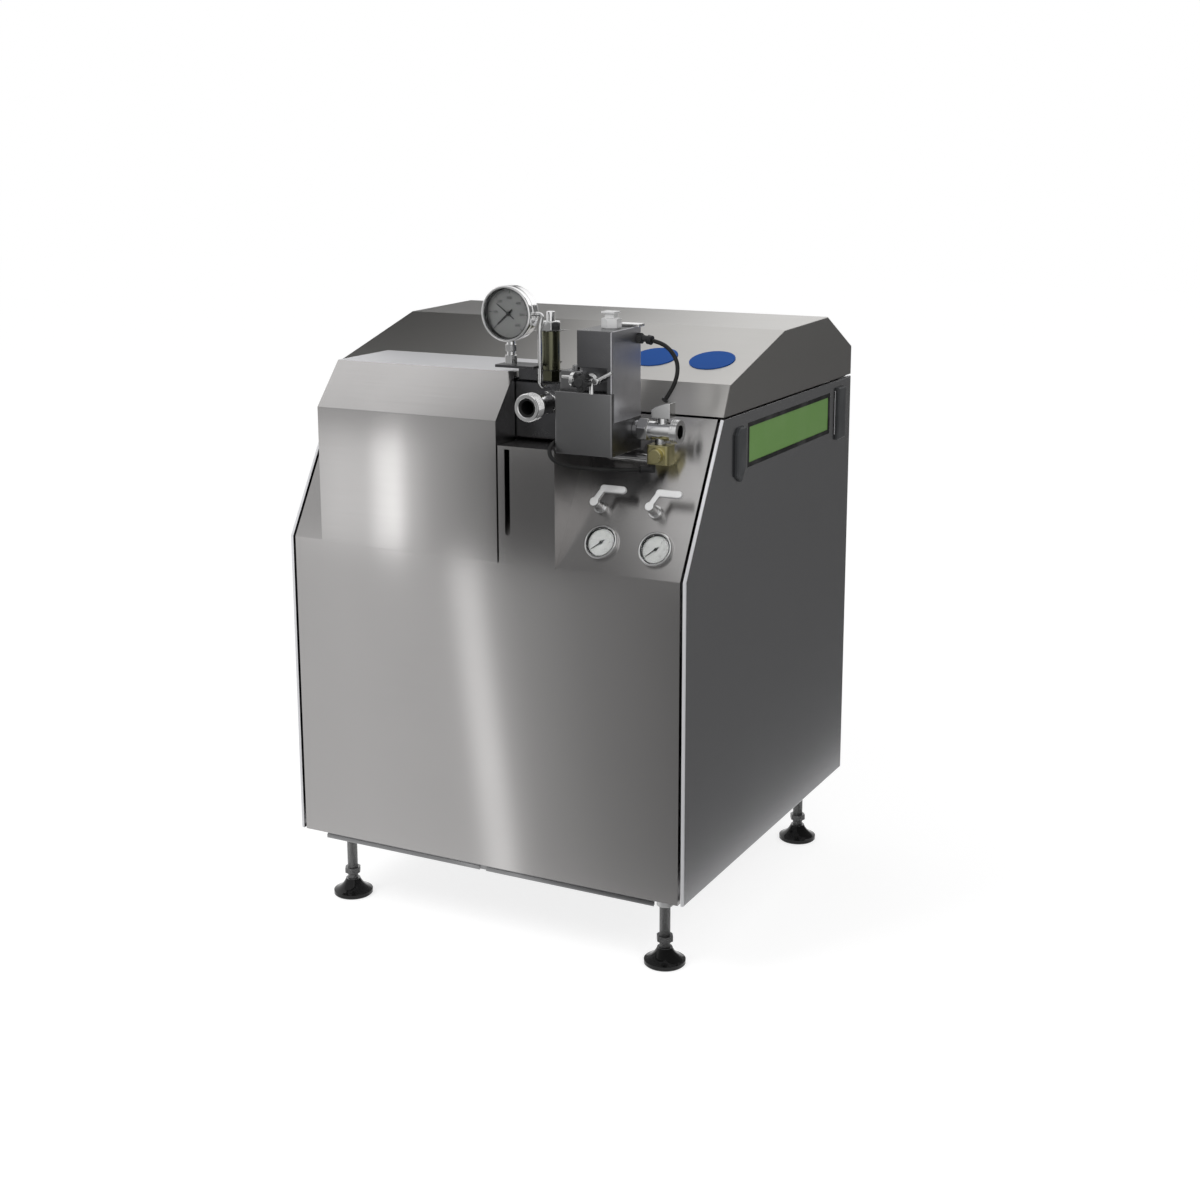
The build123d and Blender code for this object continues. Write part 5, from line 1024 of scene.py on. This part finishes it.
def soft_lamp(name, place, size, power):
    """A square soft box aimed at the machine, which neither the camera nor the steel sees."""
    lamp_data = bpy.data.lights.new(name, "AREA")
    lamp_data.size = size
    lamp_data.energy = power
    lamp = bpy.data.objects.new(name, lamp_data)
    lamp.location = place
    lamp.rotation_mode = "QUATERNION"
    lamp.rotation_quaternion = (LAMP_AIM - Vector(place)).to_track_quat("-Z", "Y")
    bpy.context.scene.collection.objects.link(lamp)
    lamp.visible_camera = False
    lamp.visible_glossy = False
    return lamp


print("lamps aim at", [round(v, 3) for v in LAMP_AIM])

# %% Floor and lamps
FLOOR_GLOW = 0.74

floor = studio_sheet("floor", 30.0, 30.0, Matrix.Translation((0, 0, -0.0005)))
floor_finish, nodes, links, shader = new_finish("floor_white", (0.42, 0.42, 0.42), 0.0, 0.9, specular=0.0)
glow = set_inputs(nodes.new("ShaderNodeEmission"), Color=(1.0, 1.0, 1.0, 1.0))
links.new(math_node(nodes, links, "MULTIPLY", seen_ray(nodes, links), FLOOR_GLOW), glow.inputs["Strength"])
both = nodes.new("ShaderNodeAddShader")
links.new(shader.outputs["BSDF"], both.inputs[0])
links.new(glow.outputs["Emission"], both.inputs[1])
links.new(both.outputs["Shader"], nodes["Material Output"].inputs["Surface"])
floor.data.materials.append(floor_finish)
key = soft_lamp("key_lamp", (-1.6, -2.6, 3.2), 1.6, 55.0)
fill = soft_lamp("fill_lamp", (2.6, -1.6, 2.4), 1.4, 18.0)
print("lamps in watts:", key.data.energy, fill.data.energy)

# %% [markdown]
# ## Cards for the steel to mirror
#
# Polished sheet shows its surroundings more than its lamps. A photographer
# stands grey and white cards just out of the picture, and so does this step:
# painting the bright bands into the steel instead would leave them in place
# when the machine turns. Graded cards at the front make the tall bright band
# on the front panel and the one on the box cover. A dark card at the right
# turns the side panel dark, and one overhead shades the hood from left to
# right. Only reflections see the cards.

# %% Helper for the cards
# Some steps are brighter than 1, so the ramp holds half of each and the card doubles it.
CARD_STRENGTH = 2.0


def reflection_card(name, width, height, place, stops, lean=0.0, axis="X"):
    """A glowing card with grey steps along one direction, seen only in reflections."""
    card = studio_sheet(name, width, height, place)
    material = bpy.data.materials.new(name)
    material.use_nodes = True
    nodes, links = material.node_tree.nodes, material.node_tree.links
    nodes.clear()
    parts = nodes.new("ShaderNodeSeparateXYZ")
    links.new(object_point(nodes, links), parts.inputs["Vector"])
    leaning = math_node(nodes, links, "MULTIPLY_ADD", parts.outputs["Z"], lean, parts.outputs[axis])
    low, high = stops[0][0], stops[-1][0]
    share = set_inputs(nodes.new("ShaderNodeMapRange"), From_Min=low, From_Max=high)
    links.new(leaning, share.inputs["Value"])
    ramp = nodes.new("ShaderNodeValToRGB")
    steps = ramp.color_ramp.elements
    while len(steps) < len(stops):
        steps.new(0.5)
    for step, (where, grey) in zip(steps, stops):
        step.position = (where - low) / (high - low)
        step.color = (grey / CARD_STRENGTH, grey / CARD_STRENGTH, grey / CARD_STRENGTH, 1.0)
    links.new(share.outputs["Result"], ramp.inputs["Fac"])
    light = set_inputs(nodes.new("ShaderNodeEmission"), Strength=CARD_STRENGTH)
    links.new(ramp.outputs["Color"], light.inputs["Color"])
    links.new(light.outputs["Emission"], nodes.new("ShaderNodeOutputMaterial").inputs["Surface"])
    card.data.materials.append(material)
    card.visible_camera = False
    card.visible_diffuse = False
    card.visible_shadow = False
    card.visible_transmission = False


print("card helper ready")

# %% Stand the front cards, one above the other
FRONT_CARD_Y = -0.62
FACING_FRONT = Matrix.Rotation(math.radians(90), 4, "X")
FACING_SIDE = Matrix.Rotation(math.radians(90), 4, "Z") @ FACING_FRONT

# Each pair is a place along the card in metres and the grey there.
FRONT_GREYS = [(-1.0, 0.68), (-0.376, 0.74), (-0.176, 0.70), (-0.121, 0.70), (-0.076, 1.22), (-0.046, 1.12),
               (-0.011, 0.58), (0.044, 0.44), (0.194, 0.30), (0.424, 0.185), (1.0, 0.18)]
COVER_GREYS = [(-1.0, 0.65), (-0.56, 0.82), (-0.45, 1.06), (-0.375, 1.04), (-0.345, 1.65), (-0.305, 1.9),
               (-0.275, 0.95), (-0.22, 0.58), (-0.12, 0.33), (-0.09, 0.29), (-0.05, 0.12), (0.1, 0.12),
               (0.3, 0.25), (1.0, 0.3)]
SLOPE_GREYS = [(-0.2, 0.6), (0.66, 0.45), (0.90, 0.22), (1.0, 0.3), (1.10, 0.75), (1.26, 0.98), (2.0, 0.95)]
BROW_GREYS = [(-1.0, 1.2), (-0.68, 1.2), (-0.61, 1.0), (-0.54, 1.6), (-0.46, 0.5), (-0.40, 0.4), (-0.28, 0.4),
              (1.0, 0.4)]


def front_card(name, low, high, greys, lean=0.0):
    """A card across the front between two heights."""
    place = Matrix.Translation((0.0, FRONT_CARD_Y, (low + high) / 2)) @ FACING_FRONT
    reflection_card(name, 2.4, high - low, place, greys, lean=lean)


front_card("front_card", 0.0, 0.715, FRONT_GREYS, lean=0.127)
front_card("cover_card", 0.716, 0.955, COVER_GREYS)
front_card("slope_card", 0.956, 1.449, SLOPE_GREYS, lean=0.8)
front_card("brow_card", 1.45, 2.6, BROW_GREYS)
print("front cards stand at", FRONT_CARD_Y)

# %% Stand the side card and hang the one overhead
SIDE_GREYS = [(-0.7, 0.17), (0.0, 0.16), (0.9, 0.14), (3.4, 0.15)]
ROOF_GREYS = [(-1.3, 0.08), (-0.75, 0.09), (-0.5, 0.145), (-0.3, 0.38), (-0.08, 1.0), (0.2, 1.18),
              (1.0, 1.18)]
side_place = Matrix.Translation((0.58, 1.4, 0.95)) @ FACING_SIDE
roof_place = Matrix.Translation((-0.2, 0.6, 1.5))

reflection_card("side_card", 4.0, 1.9, side_place, SIDE_GREYS, axis="Y")
reflection_card("roof_card", 2.4, 1.6, roof_place, ROOF_GREYS)
